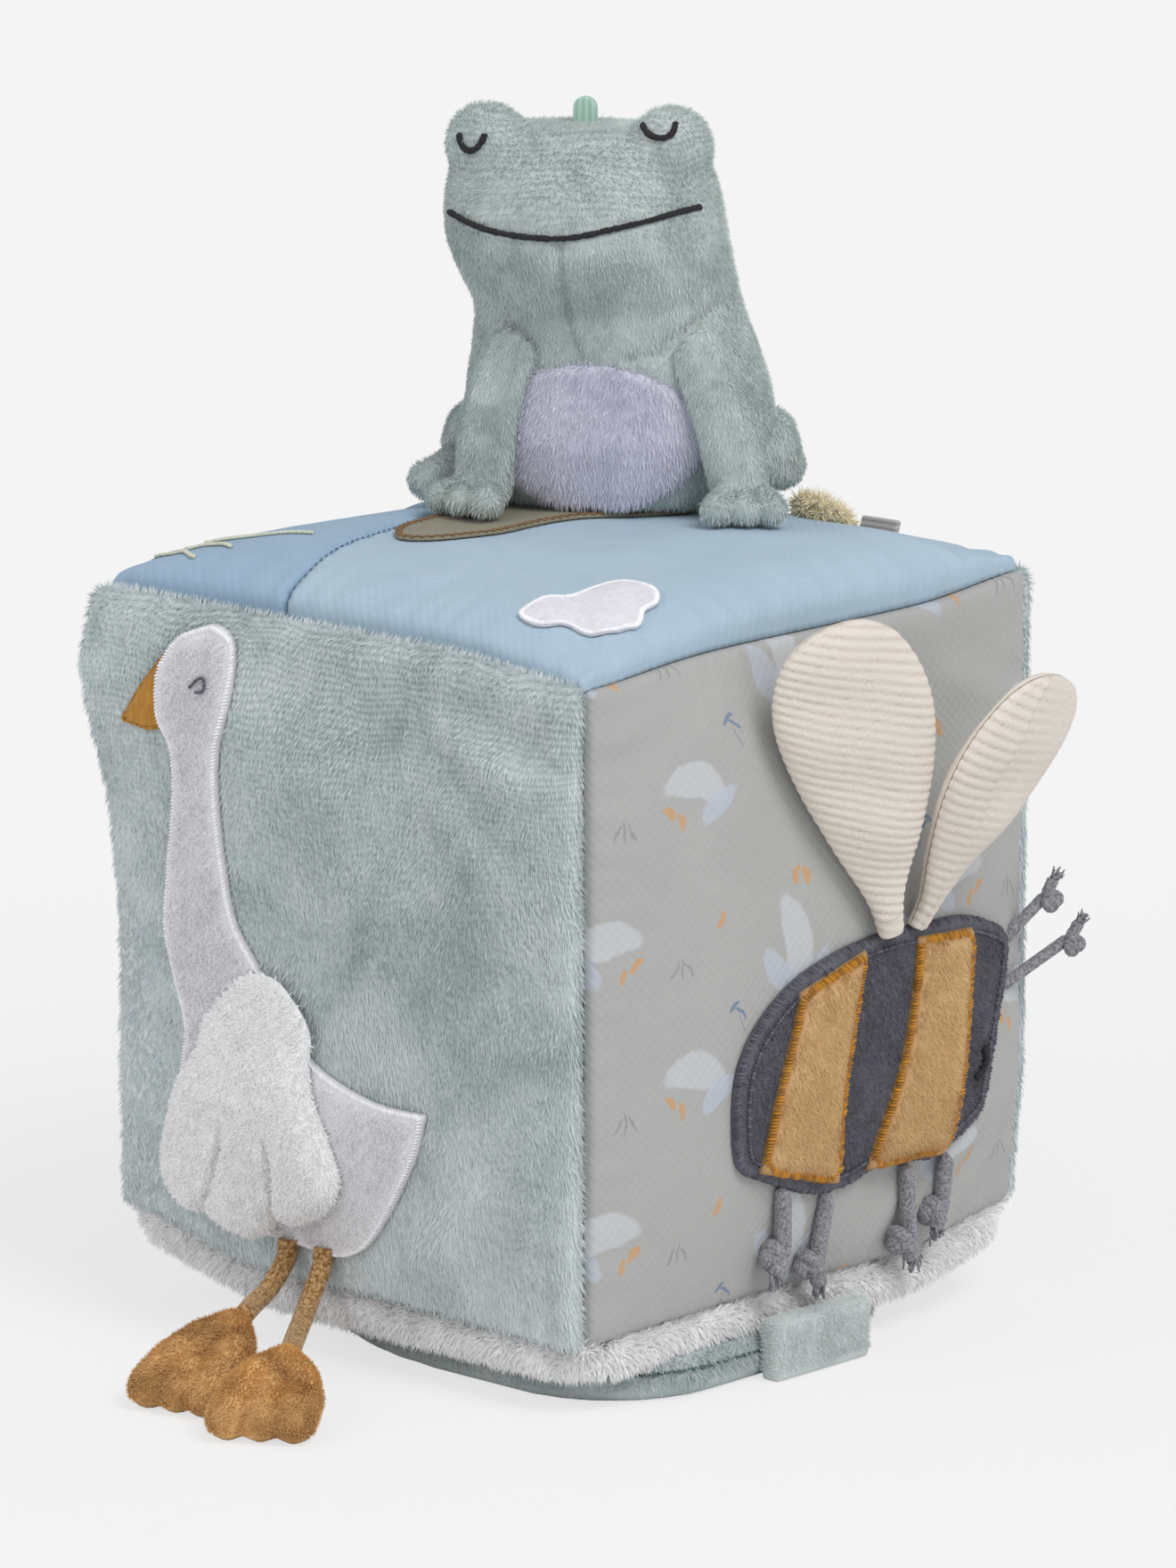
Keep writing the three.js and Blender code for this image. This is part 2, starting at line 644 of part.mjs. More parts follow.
// The goose's legs: two cords that leave its lower edge and run out and down, each to a stuffed foot
// of three toes. The toes rest on what the cube stands on.
const legRoutes = {
  left: [
    [-11, -79, 26.6], [-11, -79.5, 22.6], [-10.8, -83.2, 18.4], [-9.4, -88, 16.2], [-6.4, -94.4, 15.6],
    [-2, -101.6, 15.5],
  ],
  right: [
    [0, -78.95, 26.6], [0, -79.5, 22.2], [0.8, -83.4, 17.2], [4, -89, 14], [10.4, -97.8, 12.5],
    [18, -107.4, 12],
  ],
};
const footTurns = { left: 12, right: 32 }; // degrees, from straight out towards the bee's side
const gooseToeRadius = footWidth / 5;
const toeFlat = 0.5; // how deep the toes are pressed flat where they rest
const ground = new THREE.BoxGeometry(3 * overrun, 3 * overrun, overrun);

for (const side of ["left", "right"]) {
  const route = legRoutes[side];
  add("goose_leg_" + side, toSolid(cordTube(route, gooseLegDiameter, 8, 12)), "ochreCord");
  const ankle = route[route.length - 1];
  const foot = new THREE.Group();
  foot.position.set(...ankle);
  foot.rotation.z = THREE.MathUtils.degToRad(footTurns[side]);
  toy.add(foot);
  const ankleRadius = gooseLegDiameter * 0.8;
  const reach = footLength - gooseToeRadius;
  const toes = [-1, 0, 1].map((place) => {
    const spread = place * (footWidth / 2 - gooseToeRadius);
    const path = [[0, -ankleRadius - 3 * fitGap, 0], [spread * 0.8, -reach / 2, 0], [spread, -reach, 0]];
    return toSolid(limb(path, [ankleRadius, gooseToeRadius, gooseToeRadius], 8, 3));
  });
  const web = limb([[0, -reach * 0.35, 0], [0, -reach * 0.6, 0]], [footWidth / 4, footWidth / 3], 8, 2);
  web.scale(1, 1, footThickness / footWidth);
  const stuffed = toGeometry(joined([...toes, toSolid(web)]));
  stuffed.scale(1, 1, footThickness / (2 * gooseToeRadius));
  const drop = ankle[2] - footThickness / 2 + toeFlat;
  stuffed.rotateX(Math.asin(drop / reach));
  const floor = placed(ground, new THREE.Matrix4().makeTranslation(0, 0, -ankle[2] - overrun / 2));
  add("goose_foot_" + side, toSolid(stuffed).subtract(toSolid(floor)), "footPlush", foot);
}

// The bee: a velour body with two stripes laid on it.
const bee = faces.bee;
const beeShares = [
  [0.505, 1], [0.353, 0.971], [0.196, 0.889], [0.073, 0.749], [0.012, 0.588], [0, 0.38], [0.019, 0.196],
  [0.1, 0.116], [0.264, 0.011], [0.39, 0], [0.502, 0.037], [0.614, 0.029], [0.744, 0.025], [0.842, 0.086],
  [0.907, 0.159], [0.938, 0.314], [0.964, 0.49], [0.995, 0.702], [1, 0.847], [0.933, 0.93], [0.801, 0.993],
  [0.639, 1], [0.505, 1],
];
const beeOutline = outline([boxed(beeShares, beeWidth, beeHeight, beeAcross, beeUp)], 1);
add("bee_body", patch(bee, beeOutline, fitGap, appliqueThickness), "greyVelour");

const stripeShares = {
  rear: [
    [[0.434, 0.96], [0.396, 0.711], [0.362, 0.4], [0.35, 0.03]],
    [[0.35, 0.03], [0.075, 0.16]],
    [[0.075, 0.16], [0.122, 0.45], [0.175, 0.7], [0.205, 0.85]],
    [[0.205, 0.85], [0.434, 0.96]],
  ],
  front: [
    [[0.832, 0.94], [0.823, 0.626], [0.803, 0.339], [0.732, 0.045]],
    [[0.732, 0.045], [0.452, 0.05]],
    [[0.452, 0.05], [0.548, 0.412], [0.604, 0.758], [0.62, 0.96]],
    [[0.62, 0.96], [0.832, 0.94]],
  ],
};
const onApplique = appliqueThickness + 2 * fitGap;
for (const [place, stretches] of Object.entries(stripeShares)) {
  const boxedStretches = stretches.map((shares) => boxed(shares, beeWidth, beeHeight, beeAcross, beeUp));
  const stripe = patch(bee, outline(boxedStretches, 2), onApplique, stripeThickness);
  add("bee_stripe_" + place, stripe, "tanVelour");
}

// The bee's wings are stuffed, ribbed in front and smooth behind, and each is sewn on at its root.
const wingProfileShares = [
  [0, 1, 1], [0.12, 0.24, 0.45], [0.3, 0.55, 0.8], [0.5, 0.85, 1], [0.68, 1, 1], [0.82, 0.94, 0.85],
  [0.93, 0.7, 0.6], [0.99, 0.34, 0.3],
];
function petalHalf(length, side) {
  const rings = wingProfileShares.map(([along, wide, thick], k) => ({
    at: along * length,
    x: 0,
    y: 0,
    halfX: k === 0 ? beeWingStalk / 2 : (wide * beeWingWidth) / 2,
    halfY: k === 0 ? beeWingStalk / 3 : (thick * beeWingThickness) / 2,
  }));
  const half = new THREE.BoxGeometry(2 * overrun, overrun, 4 * overrun);
  half.translate(0, (side * (overrun + seamGap)) / 2, 0);
  return toSolid(loft(rings, 12)).intersect(toSolid(half));
}

const beeTop = cubeMiddle + beeUp + beeHeight / 2 + 2 * fitGap;
const wingRootOut = halfWidth + sideCrown + appliqueThickness + 2 * fitGap;
const beeWings = {
  left: { out: beeWingStalk / 4, lengthShare: 1, alongShares: [0.13, -0.38, 0.93], turn: 26 },
  right: { out: 0, lengthShare: 0.82, alongShares: [0.45, 0.13, 0.88], turn: -3 },
};
for (const [side, { out, lengthShare, alongShares, turn }] of Object.entries(beeWings)) {
  const length = lengthShare * beeWingLength;
  const along = new THREE.Vector3(...alongShares).normalize();
  const yaw = THREE.MathUtils.degToRad(turn);
  const wide = new THREE.Vector3(Math.sin(yaw), Math.cos(yaw), 0);
  wide.addScaledVector(along, -wide.dot(along)).normalize();
  const thick = new THREE.Vector3().crossVectors(along, wide);
  const wing = new THREE.Group();
  wing.position.set(wingRootOut + out, beeAcross + beeWingSpread[side], beeTop);
  wing.quaternion.setFromRotationMatrix(new THREE.Matrix4().makeBasis(wide, thick, along));
  toy.add(wing);
  add("bee_wing_" + side + "_front", petalHalf(length, -1), "creamCorduroy", wing);
  add("bee_wing_" + side + "_back", petalHalf(length, 1), "creamVelour", wing);
}

// The bee's legs and antennae are short cords, each with a knot and a frayed tail.
const beeLegShares = [
  { exit: [0.169, 0.07], knot: [-0.03, 1], tail: [-0.6, 1] },
  { exit: [0.327, 0], knot: [-0.25, 1.05], tail: [0.25, 1] },
  { exit: [0.614, 0.025], knot: [0.05, 1.15], tail: [0.3, 1] },
  { exit: [0.76, 0.03], knot: [-0.15, 0.85], tail: [-0.4, 0.8] },
];
const beeLegRadius = beeLegDiameter / 2;
beeLegShares.forEach(({ exit, knot, tail }, k) => {
  const [across, up] = boxed([exit], beeWidth, beeHeight, beeAcross, beeUp)[0];
  const foot = up - 2 * fitGap - beeLegRadius;
  const root = onSkin(bee, across, foot, fitGap + beeLegRadius);
  const low = [root.x, root.y + knot[0] * beeLegLength, root.z - knot[1] * beeLegLength];
  const end = [low[0], low[1] + tail[0] * tailLength, low[2] - tail[1] * tailLength];
  add("bee_leg_" + (k + 1), knotted(root.toArray(), low, end, beeLegDiameter, knotDiameter), "greyCord");
});

const antennaShares = {
  upper: { exit: [1.014, 0.83], knot: [0.35, 0.65, 0.68], tail: [0.25, 0.35, 0.95] },
  lower: { exit: [0.999, 0.64], knot: [0.55, 1.1, 0.72], tail: [0.3, 0.5, 0.85] },
};
const antennaRadius = antennaDiameter / 2;
for (const [place, { exit, knot, tail }] of Object.entries(antennaShares)) {
  const [across, up] = boxed([exit], beeWidth, beeHeight, beeAcross, beeUp)[0];
  const root = onSkin(bee, across + fitGap + antennaRadius, up, fitGap + antennaRadius).toArray();
  const bend = root.map((value, axis) => value + knot[axis] * antennaLength);
  const end = bend.map((value, axis) => value + tail[axis] * tailLength);
  add("bee_antenna_" + place, knotted(root, bend, end, antennaDiameter, antennaKnotDiameter), "greyCord");
}

// The frog, in a frame of its own: it faces -Y, and its origin is where it sits.
const frogSeatLift = patchThickness + 2 * fitGap;
const frogSeat = onSkin(top, frogAcross, frogBack, frogSeatLift);
const frog = new THREE.Group();
frog.position.copy(frogSeat);
frog.rotation.z = THREE.MathUtils.degToRad(frogTurn);
toy.add(frog);
frog.updateMatrixWorld(true);
const underFrog = toSolid(layer(top, skin(frogSeatLift), { inset: basePadRim, lift: 0 }));
const seat = toSolid(placed(toGeometry(underFrog), frog.matrixWorld.clone().invert()));

// Rings of the body and head: height, half width, half depth, how far back and how far to the right, in
// shares of the frog's height, half width and half depth. The body sits a little to the right of the head.
const frogBodyShares = [
  [-0.08, 0.88, 0.9, 0.2, 0.21], [0.06, 1.1, 1.06, 0.22, 0.21], [0.18, 1.16, 1.1, 0.2, 0.23],
  [0.3, 1.12, 1, 0.14, 0.23], [0.42, 1.04, 0.88, 0.04, 0.22], [0.53, 0.97, 0.82, -0.02, 0.18],
];
const frogHeadShares = [
  [0.53, 0.97, 0.82, -0.02, 0.18], [0.62, 1, 0.94, -0.14, 0.11], [0.71, 1.02, 1.02, -0.24, 0.05],
  [0.8, 1.01, 1, -0.22, 0.02], [0.88, 0.97, 0.88, -0.14, 0], [0.95, 0.85, 0.68, -0.06, 0],
  [1, 0.55, 0.38, 0, 0],
];
function frogForm(shares, grow, turn = 0) {
  const rings = shares.map(([up, wide, deep, back, right], k) => ({
    at: up * frogHeight + (k === 0 ? -grow : 0) + (k === shares.length - 1 ? grow : 0),
    x: (right * frogWidth) / 2,
    y: (back * frogDepth) / 2,
    halfX: (wide * frogWidth) / 2 + grow,
    halfY: (deep * frogDepth) / 2 + grow,
  }));
  return toSolid(loft(rings, 14).rotateZ(turn));
}
const frogBody = frogForm(frogBodyShares, 0).subtract(seat);
const bodySpace = frogForm(frogBodyShares, fitGap);
add("frog_body", frogBody, "frogPlush", frog);

const headTurn = THREE.MathUtils.degToRad(frogHeadTurn);
const eyeUpShare = 0.965;
const eyeForwardShare = 0.3;
const eyes = [-1, 1].map((side) => {
  const at = [(side * eyeSpacing) / 2, (-eyeForwardShare * frogDepth) / 2, eyeUpShare * frogHeight];
  const turned = new THREE.Vector3(...at).applyAxisAngle(new THREE.Vector3(0, 0, 1), headTurn);
  return ball(eyeBump, turned.toArray());
});
const frogHead = joined([frogForm(frogHeadShares, 0, headTurn), ...eyes]);
add("frog_head", frogHead.subtract(bodySpace), "frogPlush", frog);

const bellyAcross = 6;
const bellyUpShare = 0.19; // of the frog's height
const bellyUp = bellyUpShare * frogHeight;
const oval = new THREE.Shape();
oval.absellipse(bellyAcross, bellyUp, bellyWidth / 2, bellyHeight / 2, 0, 2 * Math.PI, false, 0);
const bellyCut = new THREE.ExtrudeGeometry(oval, { depth: overrun, bevelEnabled: false, curveSegments: 9 });
bellyCut.rotateX(Math.PI / 2);
const bellySpace = frogForm(frogBodyShares, bellyThickness + 2 * fitGap);
const belly = frogForm(frogBodyShares, bellyThickness + fitGap).intersect(toSolid(bellyCut));
const headSpace = frogForm(frogHeadShares, fitGap, headTurn);
add("frog_belly", belly.subtract(bodySpace).subtract(headSpace).subtract(seat), "bellyPlush", frog);

const loop = new THREE.Shape();
const loopStraight = loopHeight - loopWidth / 2;
loop.moveTo(-loopWidth / 2, 0).lineTo(loopWidth / 2, 0).lineTo(loopWidth / 2, loopStraight);
loop.absarc(0, loopStraight, loopWidth / 2, 0, Math.PI);
const loopSetting = { depth: loopThickness, bevelEnabled: false, curveSegments: 5 };
const frogLoop = new THREE.ExtrudeGeometry(loop, loopSetting);
frogLoop.rotateX(Math.PI / 2);
const headTop = frogHeadShares[frogHeadShares.length - 1][0] * frogHeight;
frogLoop.translate(0, loopThickness / 2, headTop + fitGap);
add("frog_loop", frogLoop, "mintRibbon", frog);

// Arms and hind legs, each cleared of what it turns past.
// Places of the shoulders and hips, in shares of half the frog's width, half its depth and its height.
const shoulderShares = { left: [-0.4, -0.66, 0.42], right: [0.96, -0.58, 0.42] };
const hipShares = { left: [-0.76, 0.2, 0.12], right: [1.2, 0.36, 0.12] };
const hindFootTurns = { left: -66, right: 80 }; // degrees back from straight out
const armOutShares = { left: [0.8, 1], right: [1, 1.6] }; // elbow and palm, in arm radii
const armSwing = [0, 7, 14, 27, 40];
const hindSwing = [0, 12, 24];

function hindLeg(hip, side, turn, grow) {
  const out = [side * Math.cos(turn), Math.sin(turn)];
  const knee = [hip[0] + out[0] * thighRadius, hip[1] + out[1] * thighRadius, hindFootRadius];
  const heel = [hip[0] + out[0] * hindFootLength, hip[1] + out[1] * hindFootLength, hindFootRadius * 0.6];
  const toe = [heel[0] - side * out[1] * toeRadius, heel[1] + side * out[0] * toeRadius, heel[2]];
  const radii = [thighRadius * 0.7, hindFootRadius, hindFootRadius].map((radius) => radius + grow);
  return joined([
    ball(thighRadius + grow, hip),
    toSolid(limb([hip, knee, heel], radii, 8, 3)),
    ball(toeRadius + grow, toe),
  ]);
}

function armForm(shoulder, side, outShares) {
  const [elbowOut, palmOut] = outShares.map((share) => side * armRadius * share);
  const elbow = [shoulder[0] + elbowOut, shoulder[1] - armRadius * 0.5, shoulder[2] - armLength * 0.5];
  const palm = [shoulder[0] + palmOut, shoulder[1] - armRadius * 0.7, shoulder[2] - armLength];
  const arm = toSolid(limb([shoulder, elbow, palm], [armRadius, armRadius, armRadius * 0.92], 8, 4));
  const fingers = [-0.4, 0.35, 1].map((spread) => {
    const out = side * spread * handLength * 0.8;
    const tip = [palm[0] + out, palm[1] - handLength * (1 - 0.4 * spread), palm[2] - armRadius * 0.3];
    return toSolid(limb([palm, tip], [toeRadius, toeRadius * 0.9], 6, 1));
  });
  return joined([arm, ...fingers]);
}

const still = joined([bodySpace, headSpace, bellySpace.intersect(toSolid(bellyCut)), seat]);
for (const [place, side] of [["left", -1], ["right", 1]]) {
  const at = ([x, y, z]) => [(x * frogWidth) / 2, (y * frogDepth) / 2, z * frogHeight];
  const hip = at(hipShares[place]);
  const footTurn = THREE.MathUtils.degToRad(hindFootTurns[place]);
  const upright = new THREE.Vector3(0, 0, 1);
  const hindAngles = hindSwing.map((angle) => side * angle);
  const hind = clearedWhileTurning(hindLeg(hip, side, footTurn, 0), still, hip, upright, hindAngles);
  add("frog_leg_" + place, largest(hind), "frogPlush", frog);

  const shoulder = at(shoulderShares[place]);
  const acrossAxis = new THREE.Vector3(1, 0, 0);
  const armAngles = armSwing.map((angle) => -angle);
  const inTheWay = still.add(hindLeg(hip, side, footTurn, fitGap));
  const armBlank = armForm(shoulder, side, armOutShares[place]);
  const arm = clearedWhileTurning(armBlank, inTheWay, shoulder, acrossAxis, armAngles);
  add("frog_arm_" + place, largest(arm), "frogPlush", frog);
}

export default toy;
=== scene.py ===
# A soft activity cube for a baby: a stuffed fabric cube whose faces carry a goose, a bee and a pond,
# with a stuffed frog that sits on the pond. Metres, +Z up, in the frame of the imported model.
import math

import bmesh
import bpy
import numpy as np
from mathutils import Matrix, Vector
from mathutils.bvhtree import BVHTree
from mathutils.geometry import delaunay_2d_cdt


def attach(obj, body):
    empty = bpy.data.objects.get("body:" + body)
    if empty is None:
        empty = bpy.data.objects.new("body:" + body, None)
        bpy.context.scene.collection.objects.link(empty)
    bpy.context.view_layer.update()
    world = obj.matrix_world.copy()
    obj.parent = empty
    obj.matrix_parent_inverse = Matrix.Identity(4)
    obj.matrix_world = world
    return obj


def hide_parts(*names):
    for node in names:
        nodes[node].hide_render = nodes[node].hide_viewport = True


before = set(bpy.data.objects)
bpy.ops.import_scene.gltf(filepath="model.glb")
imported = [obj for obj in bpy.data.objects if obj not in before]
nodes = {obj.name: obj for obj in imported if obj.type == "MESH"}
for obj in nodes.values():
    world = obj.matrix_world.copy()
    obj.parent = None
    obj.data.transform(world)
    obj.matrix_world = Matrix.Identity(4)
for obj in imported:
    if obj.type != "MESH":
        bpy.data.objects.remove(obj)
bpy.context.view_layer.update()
mm = 0.001


# The photographer's table and lamps. A pale floor that reaches behind the toy, one large soft lamp
# above and to the right of the camera, and a plain pale room that fills the shadows.
picture_wide, picture_high = 1320, 1760
camera_place = Vector((1.2080, -1.2845, 0.4810))
camera_aim = Vector((0.0032, 0.0030, 0.1191))
camera_lens = 183.6
sensor_long = 36.0
camera_data = bpy.data.cameras.new("camera")
camera_data.lens = camera_lens
camera_data.sensor_width = sensor_long
camera_data.clip_end = 60
camera = bpy.data.objects.new("camera", camera_data)
camera.location = camera_place
look = (camera_aim - camera_place).normalized()
camera.rotation_euler = look.to_track_quat("-Z", "Y").to_euler()
bpy.context.scene.collection.objects.link(camera)
bpy.context.scene.camera = camera
look_right = look.cross(Vector((0, 0, 1))).normalized()
look_up = look_right.cross(look)


def add_node(tree, kind, inputs=None, **settings):
    """One node of a tree. An input gets a value, or a link from a socket or from a node's first socket."""
    made = tree.nodes.new(kind)
    for name, value in settings.items():
        setattr(made, name, value)
    for place, value in (inputs or {}).items():
        if isinstance(value, bpy.types.Node):
            value = value.outputs[0]
        if isinstance(value, bpy.types.NodeSocket):
            tree.links.new(value, made.inputs[place])
        else:
            made.inputs[place].default_value = value
    return made


def maths(tree, operation, *values, **settings):
    return add_node(tree, "ShaderNodeMath", dict(enumerate(values)), operation=operation, **settings)


def scaled_by(tree, value, by):
    return add_node(tree, "ShaderNodeVectorMath", {0: value, 3: by}, operation="SCALE")


def vector_maths(tree, operation, *values):
    return add_node(tree, "ShaderNodeVectorMath", dict(enumerate(values)), operation=operation)


def marked(tree, name):
    """What a mesh holds under a name, for a shader."""
    return add_node(tree, "ShaderNodeAttribute", attribute_name=name).outputs["Fac"]


def ranged(tree, *values, **settings):
    """A value, brought from between two values to between two others."""
    return add_node(tree, "ShaderNodeMapRange", dict(enumerate(values)), clamp=True, **settings)


def dyed(red, green, blue):
    """A colour as it is read off a swatch, 0 to 255, for a shader."""
    shares = [c / 255 for c in (red, green, blue)]
    linear = [c / 12.92 if c <= 0.04045 else ((c + 0.055) / 1.055) ** 2.4 for c in shares]
    return (*linear, 1.0)


room_white = dyed(244, 244, 244)
room_light = dyed(208, 209, 212)
room_strength = 0.78
world = bpy.data.worlds.new("room")
bpy.context.scene.world = world
world.use_nodes = True
room = world.node_tree
room.nodes.clear()
ray = add_node(room, "ShaderNodeLightPath")
seen = add_node(room, "ShaderNodeBackground", {"Color": room_white, "Strength": 1.0})
lit = add_node(room, "ShaderNodeBackground", {"Color": room_light, "Strength": room_strength})
either = add_node(room, "ShaderNodeMixShader", {0: ray.outputs["Is Camera Ray"], 1: lit, 2: seen})
add_node(room, "ShaderNodeOutputWorld", {0: either})

lamp_size = 0.9
for lamp_name, power, side, rise, toward in (
    ("key_lamp", 17.0, 0.75, 1.25, 1.0),
    ("fill_lamp", 5.0, -1.3, 0.7, 0.9),
):
    lamp_data = bpy.data.lights.new(lamp_name, "AREA")
    lamp_data.shape = "DISK"
    lamp_data.size = lamp_size
    lamp_data.energy = power
    lamp = bpy.data.objects.new(lamp_name, lamp_data)
    lamp.location = camera_aim + look_right * side + Vector((0, 0, rise)) - look * toward
    lamp.rotation_euler = (camera_aim - lamp.location).to_track_quat("-Z", "Y").to_euler()
    bpy.context.scene.collection.objects.link(lamp)


def new_mesh(name, points, faces):
    """A piece at the origin with its place in its mesh."""
    mesh = bpy.data.meshes.new(name)
    mesh.from_pydata([tuple(p) for p in points], [], [tuple(int(i) for i in f) for f in faces])
    mesh.update()
    made = bpy.data.objects.new(name, mesh)
    bpy.context.scene.collection.objects.link(made)
    return made


floor_reach = 14.0
shading_seen = 0.24  # how much of the floor's shading the camera sees close to the toy
shading_near, shading_far = 0.1, 0.55  # from the middle of the toy, where the shading starts to fade and is gone
table = new_mesh(
    "table_top",
    [(x * floor_reach, y * floor_reach, 0) for x, y in ((-1, -1), (1, -1), (1, 1), (-1, 1))],
    [(0, 1, 2, 3)],
)
table_paint = bpy.data.materials.new("table_white")
table_paint.use_nodes = True
tree = table_paint.node_tree
tree.nodes.clear()
ray = add_node(tree, "ShaderNodeLightPath")
spot = add_node(tree, "ShaderNodeTexCoord")
away = vector_maths(tree, "LENGTH", spot.outputs["Object"])
plain = ranged(
    tree, away.outputs["Value"], shading_near, shading_far, 1 - shading_seen, 1.0, interpolation_type="SMOOTHSTEP",
)
share = maths(tree, "MULTIPLY", ray.outputs["Is Camera Ray"], plain)
matt = add_node(tree, "ShaderNodeBsdfDiffuse", {"Color": dyed(250, 250, 250)})
glow = add_node(tree, "ShaderNodeEmission", {"Color": room_white, "Strength": 1.0})
either = add_node(tree, "ShaderNodeMixShader", {0: share, 1: matt, 2: glow})
add_node(tree, "ShaderNodeOutputMaterial", {0: either})
table.data.materials.append(table_paint)


# The goose's legs: two limp braided cords of ochre cotton. Each leaves the seam of the goose's lower
# edge, bends over and runs out and down to the stuffed foot that is sewn to its end.
def through(points, steps, closed=False):
    """A smooth line through points, with so many steps between each two."""
    at = np.asarray(points, float)
    if closed:
        at = np.vstack([at[-1:], at, at[:2]])
    else:
        at = np.vstack([2 * at[0] - at[1], at, 2 * at[-1] - at[-2]])
    t = np.linspace(0, 1, steps, endpoint=False)[:, None]
    spans = []
    for a, b, c, d in zip(at[:-3], at[1:-2], at[2:-1], at[3:]):
        spans.append(0.5 * (2 * b + (c - a) * t + (2 * a - 5 * b + 4 * c - d) * t**2 + (3 * b - a - 3 * c + d) * t**3))
    if not closed:
        spans.append(at[-2:-1])
    return np.vstack(spans)


def evenly(points, pitch, closed=False):
    """The same line with its points a pitch apart. Columns after the first three go along with them."""
    at = np.asarray(points, float)
    if closed:
        at = np.vstack([at, at[:1]])
    way = np.concatenate([[0], np.cumsum(np.linalg.norm(np.diff(at[:, :3], axis=0), axis=1))])
    count = max(3, round(way[-1] / pitch))
    places = np.linspace(0, way[-1], count + (0 if closed else 1), endpoint=not closed)
    return np.stack([np.interp(places, way, at[:, k]) for k in range(at.shape[1])], 1)


def unit(vectors):
    vectors = np.asarray(vectors, float)
    return vectors / np.maximum(np.linalg.norm(vectors, axis=-1, keepdims=True), 1e-12)


def tube_mesh(path, radius, sides):
    """Points and faces of a round cord along a path. The radius is a number, or a function of how far
    along and how far round."""
    path = np.asarray(path, float)
    along = unit(np.gradient(path, axis=0))
    side = unit(np.cross(along[0], [0.3, 0.5, 0.81]))
    way = np.concatenate([[0], np.cumsum(np.linalg.norm(np.diff(path, axis=0), axis=1))])
    turns = np.linspace(0, 2 * math.pi, sides, endpoint=False)
    rings = []
    for k in range(len(path)):
        side = unit(side - along[k] * (side @ along[k]))
        other = np.cross(along[k], side)
        reach = radius(way[k], turns) if callable(radius) else np.full(sides, radius)
        rings.append(path[k] + reach[:, None] * (np.cos(turns)[:, None] * side + np.sin(turns)[:, None] * other))
    points = np.vstack([*rings, path[:1], path[-1:]])
    faces = []
    first, last = len(points) - 2, len(points) - 1
    for k in range(len(path) - 1):
        for i in range(sides):
            j = (i + 1) % sides
            faces.append((k * sides + i, k * sides + j, (k + 1) * sides + j, (k + 1) * sides + i))
    top = (len(path) - 1) * sides
    for i in range(sides):
        j = (i + 1) % sides
        faces.append((first, j, i))
        faces.append((last, top + i, top + j))
    return points, faces


def sockets(tree, way, kind, *names):
    """What a tree takes in or gives out."""
    for name in names:
        tree.interface.new_socket(name, in_out=way, socket_type="NodeSocket" + kind)


# Two sizes of unevenness, as a height and a mask, which all cloths and cords share.
unevenness = bpy.data.node_groups.new("unevenness", "ShaderNodeTree")
sockets(unevenness, "INPUT", "Vector", "Vector")
sockets(unevenness, "INPUT", "Float", "Fine Scale", "Patch Scale")
sockets(unevenness, "OUTPUT", "Float", "Fine", "Patches")
given = add_node(unevenness, "NodeGroupInput").outputs
fine = add_node(unevenness, "ShaderNodeTexNoise", {0: given[0], 2: given[1], 3: 3.0, 4: 0.6})
patches = add_node(unevenness, "ShaderNodeTexNoise", {0: given[0], 2: given[2], 3: 2.0, 4: 0.5, 8: 0.6})
add_node(unevenness, "NodeGroupOutput", {0: fine, 1: ranged(unevenness, patches, 0.34, 0.66)})


def uneven_at(tree, place, fine=900.0, patches=60.0):
    return add_node(tree, "ShaderNodeGroup", {0: place, 1: fine, 2: patches}, node_tree=unevenness)


def new_material(name, roughness, sheen=0.0, sheen_tint=None):
    """A material with its Principled shader: its tree, the shader, and the object's own coordinates."""
    made = bpy.data.materials.new(name)
    made.use_nodes = True
    tree = made.node_tree
    shader = tree.nodes["Principled BSDF"]
    shader.inputs["Roughness"].default_value = roughness
    shader.inputs["Specular IOR Level"].default_value = 0.25
    shader.inputs["Sheen Weight"].default_value = sheen
    shader.inputs["Sheen Roughness"].default_value = 0.45
    if sheen_tint:
        shader.inputs["Sheen Tint"].default_value = sheen_tint
    place = add_node(tree, "ShaderNodeTexCoord")
    return made, tree, shader, place.outputs["Object"]


def mixed(tree, mask, low, high):
    """Colour low where the mask is 0, high where it is 1."""
    return add_node(tree, "ShaderNodeMix", {0: mask, 6: low, 7: high}, data_type="RGBA").outputs[2]


def rough_height(tree, shader, height, distance, strength=1.0):
    bump = add_node(tree, "ShaderNodeBump", {"Strength": strength, "Distance": distance, "Height": height})
    tree.links.new(bump.outputs[0], shader.inputs["Normal"])


def cord_material(name, light, dark, marl_scale):
    """Braided cotton: the fibres are marled light and dark, with painted shade in the grooves between the strands."""
    made, tree, shader, place = new_material(name, 0.9, 0.25)
    uneven = uneven_at(tree, place, marl_scale, marl_scale / 6)
    sharp = ranged(tree, uneven, 0.38, 0.62)
    marled = mixed(tree, sharp, dark, light)
    groove_shade = marked(tree, "groove_shade")
    tree.links.new(mixed(tree, groove_shade, marled, dark), shader.inputs["Base Color"])
    rough_height(tree, shader, uneven, 0.0003, 0.7)
    return made


def set_attribute(piece, name, values, kind="FLOAT"):
    held = piece.data.attributes.new(name, kind, "POINT")
    field = "vector" if kind == "FLOAT_VECTOR" else "value"
    held.data.foreach_set(field, np.asarray(values, np.float32).ravel())


def smooth(piece):
    piece.data.polygons.foreach_set("use_smooth", np.ones(len(piece.data.polygons), bool))
    return piece


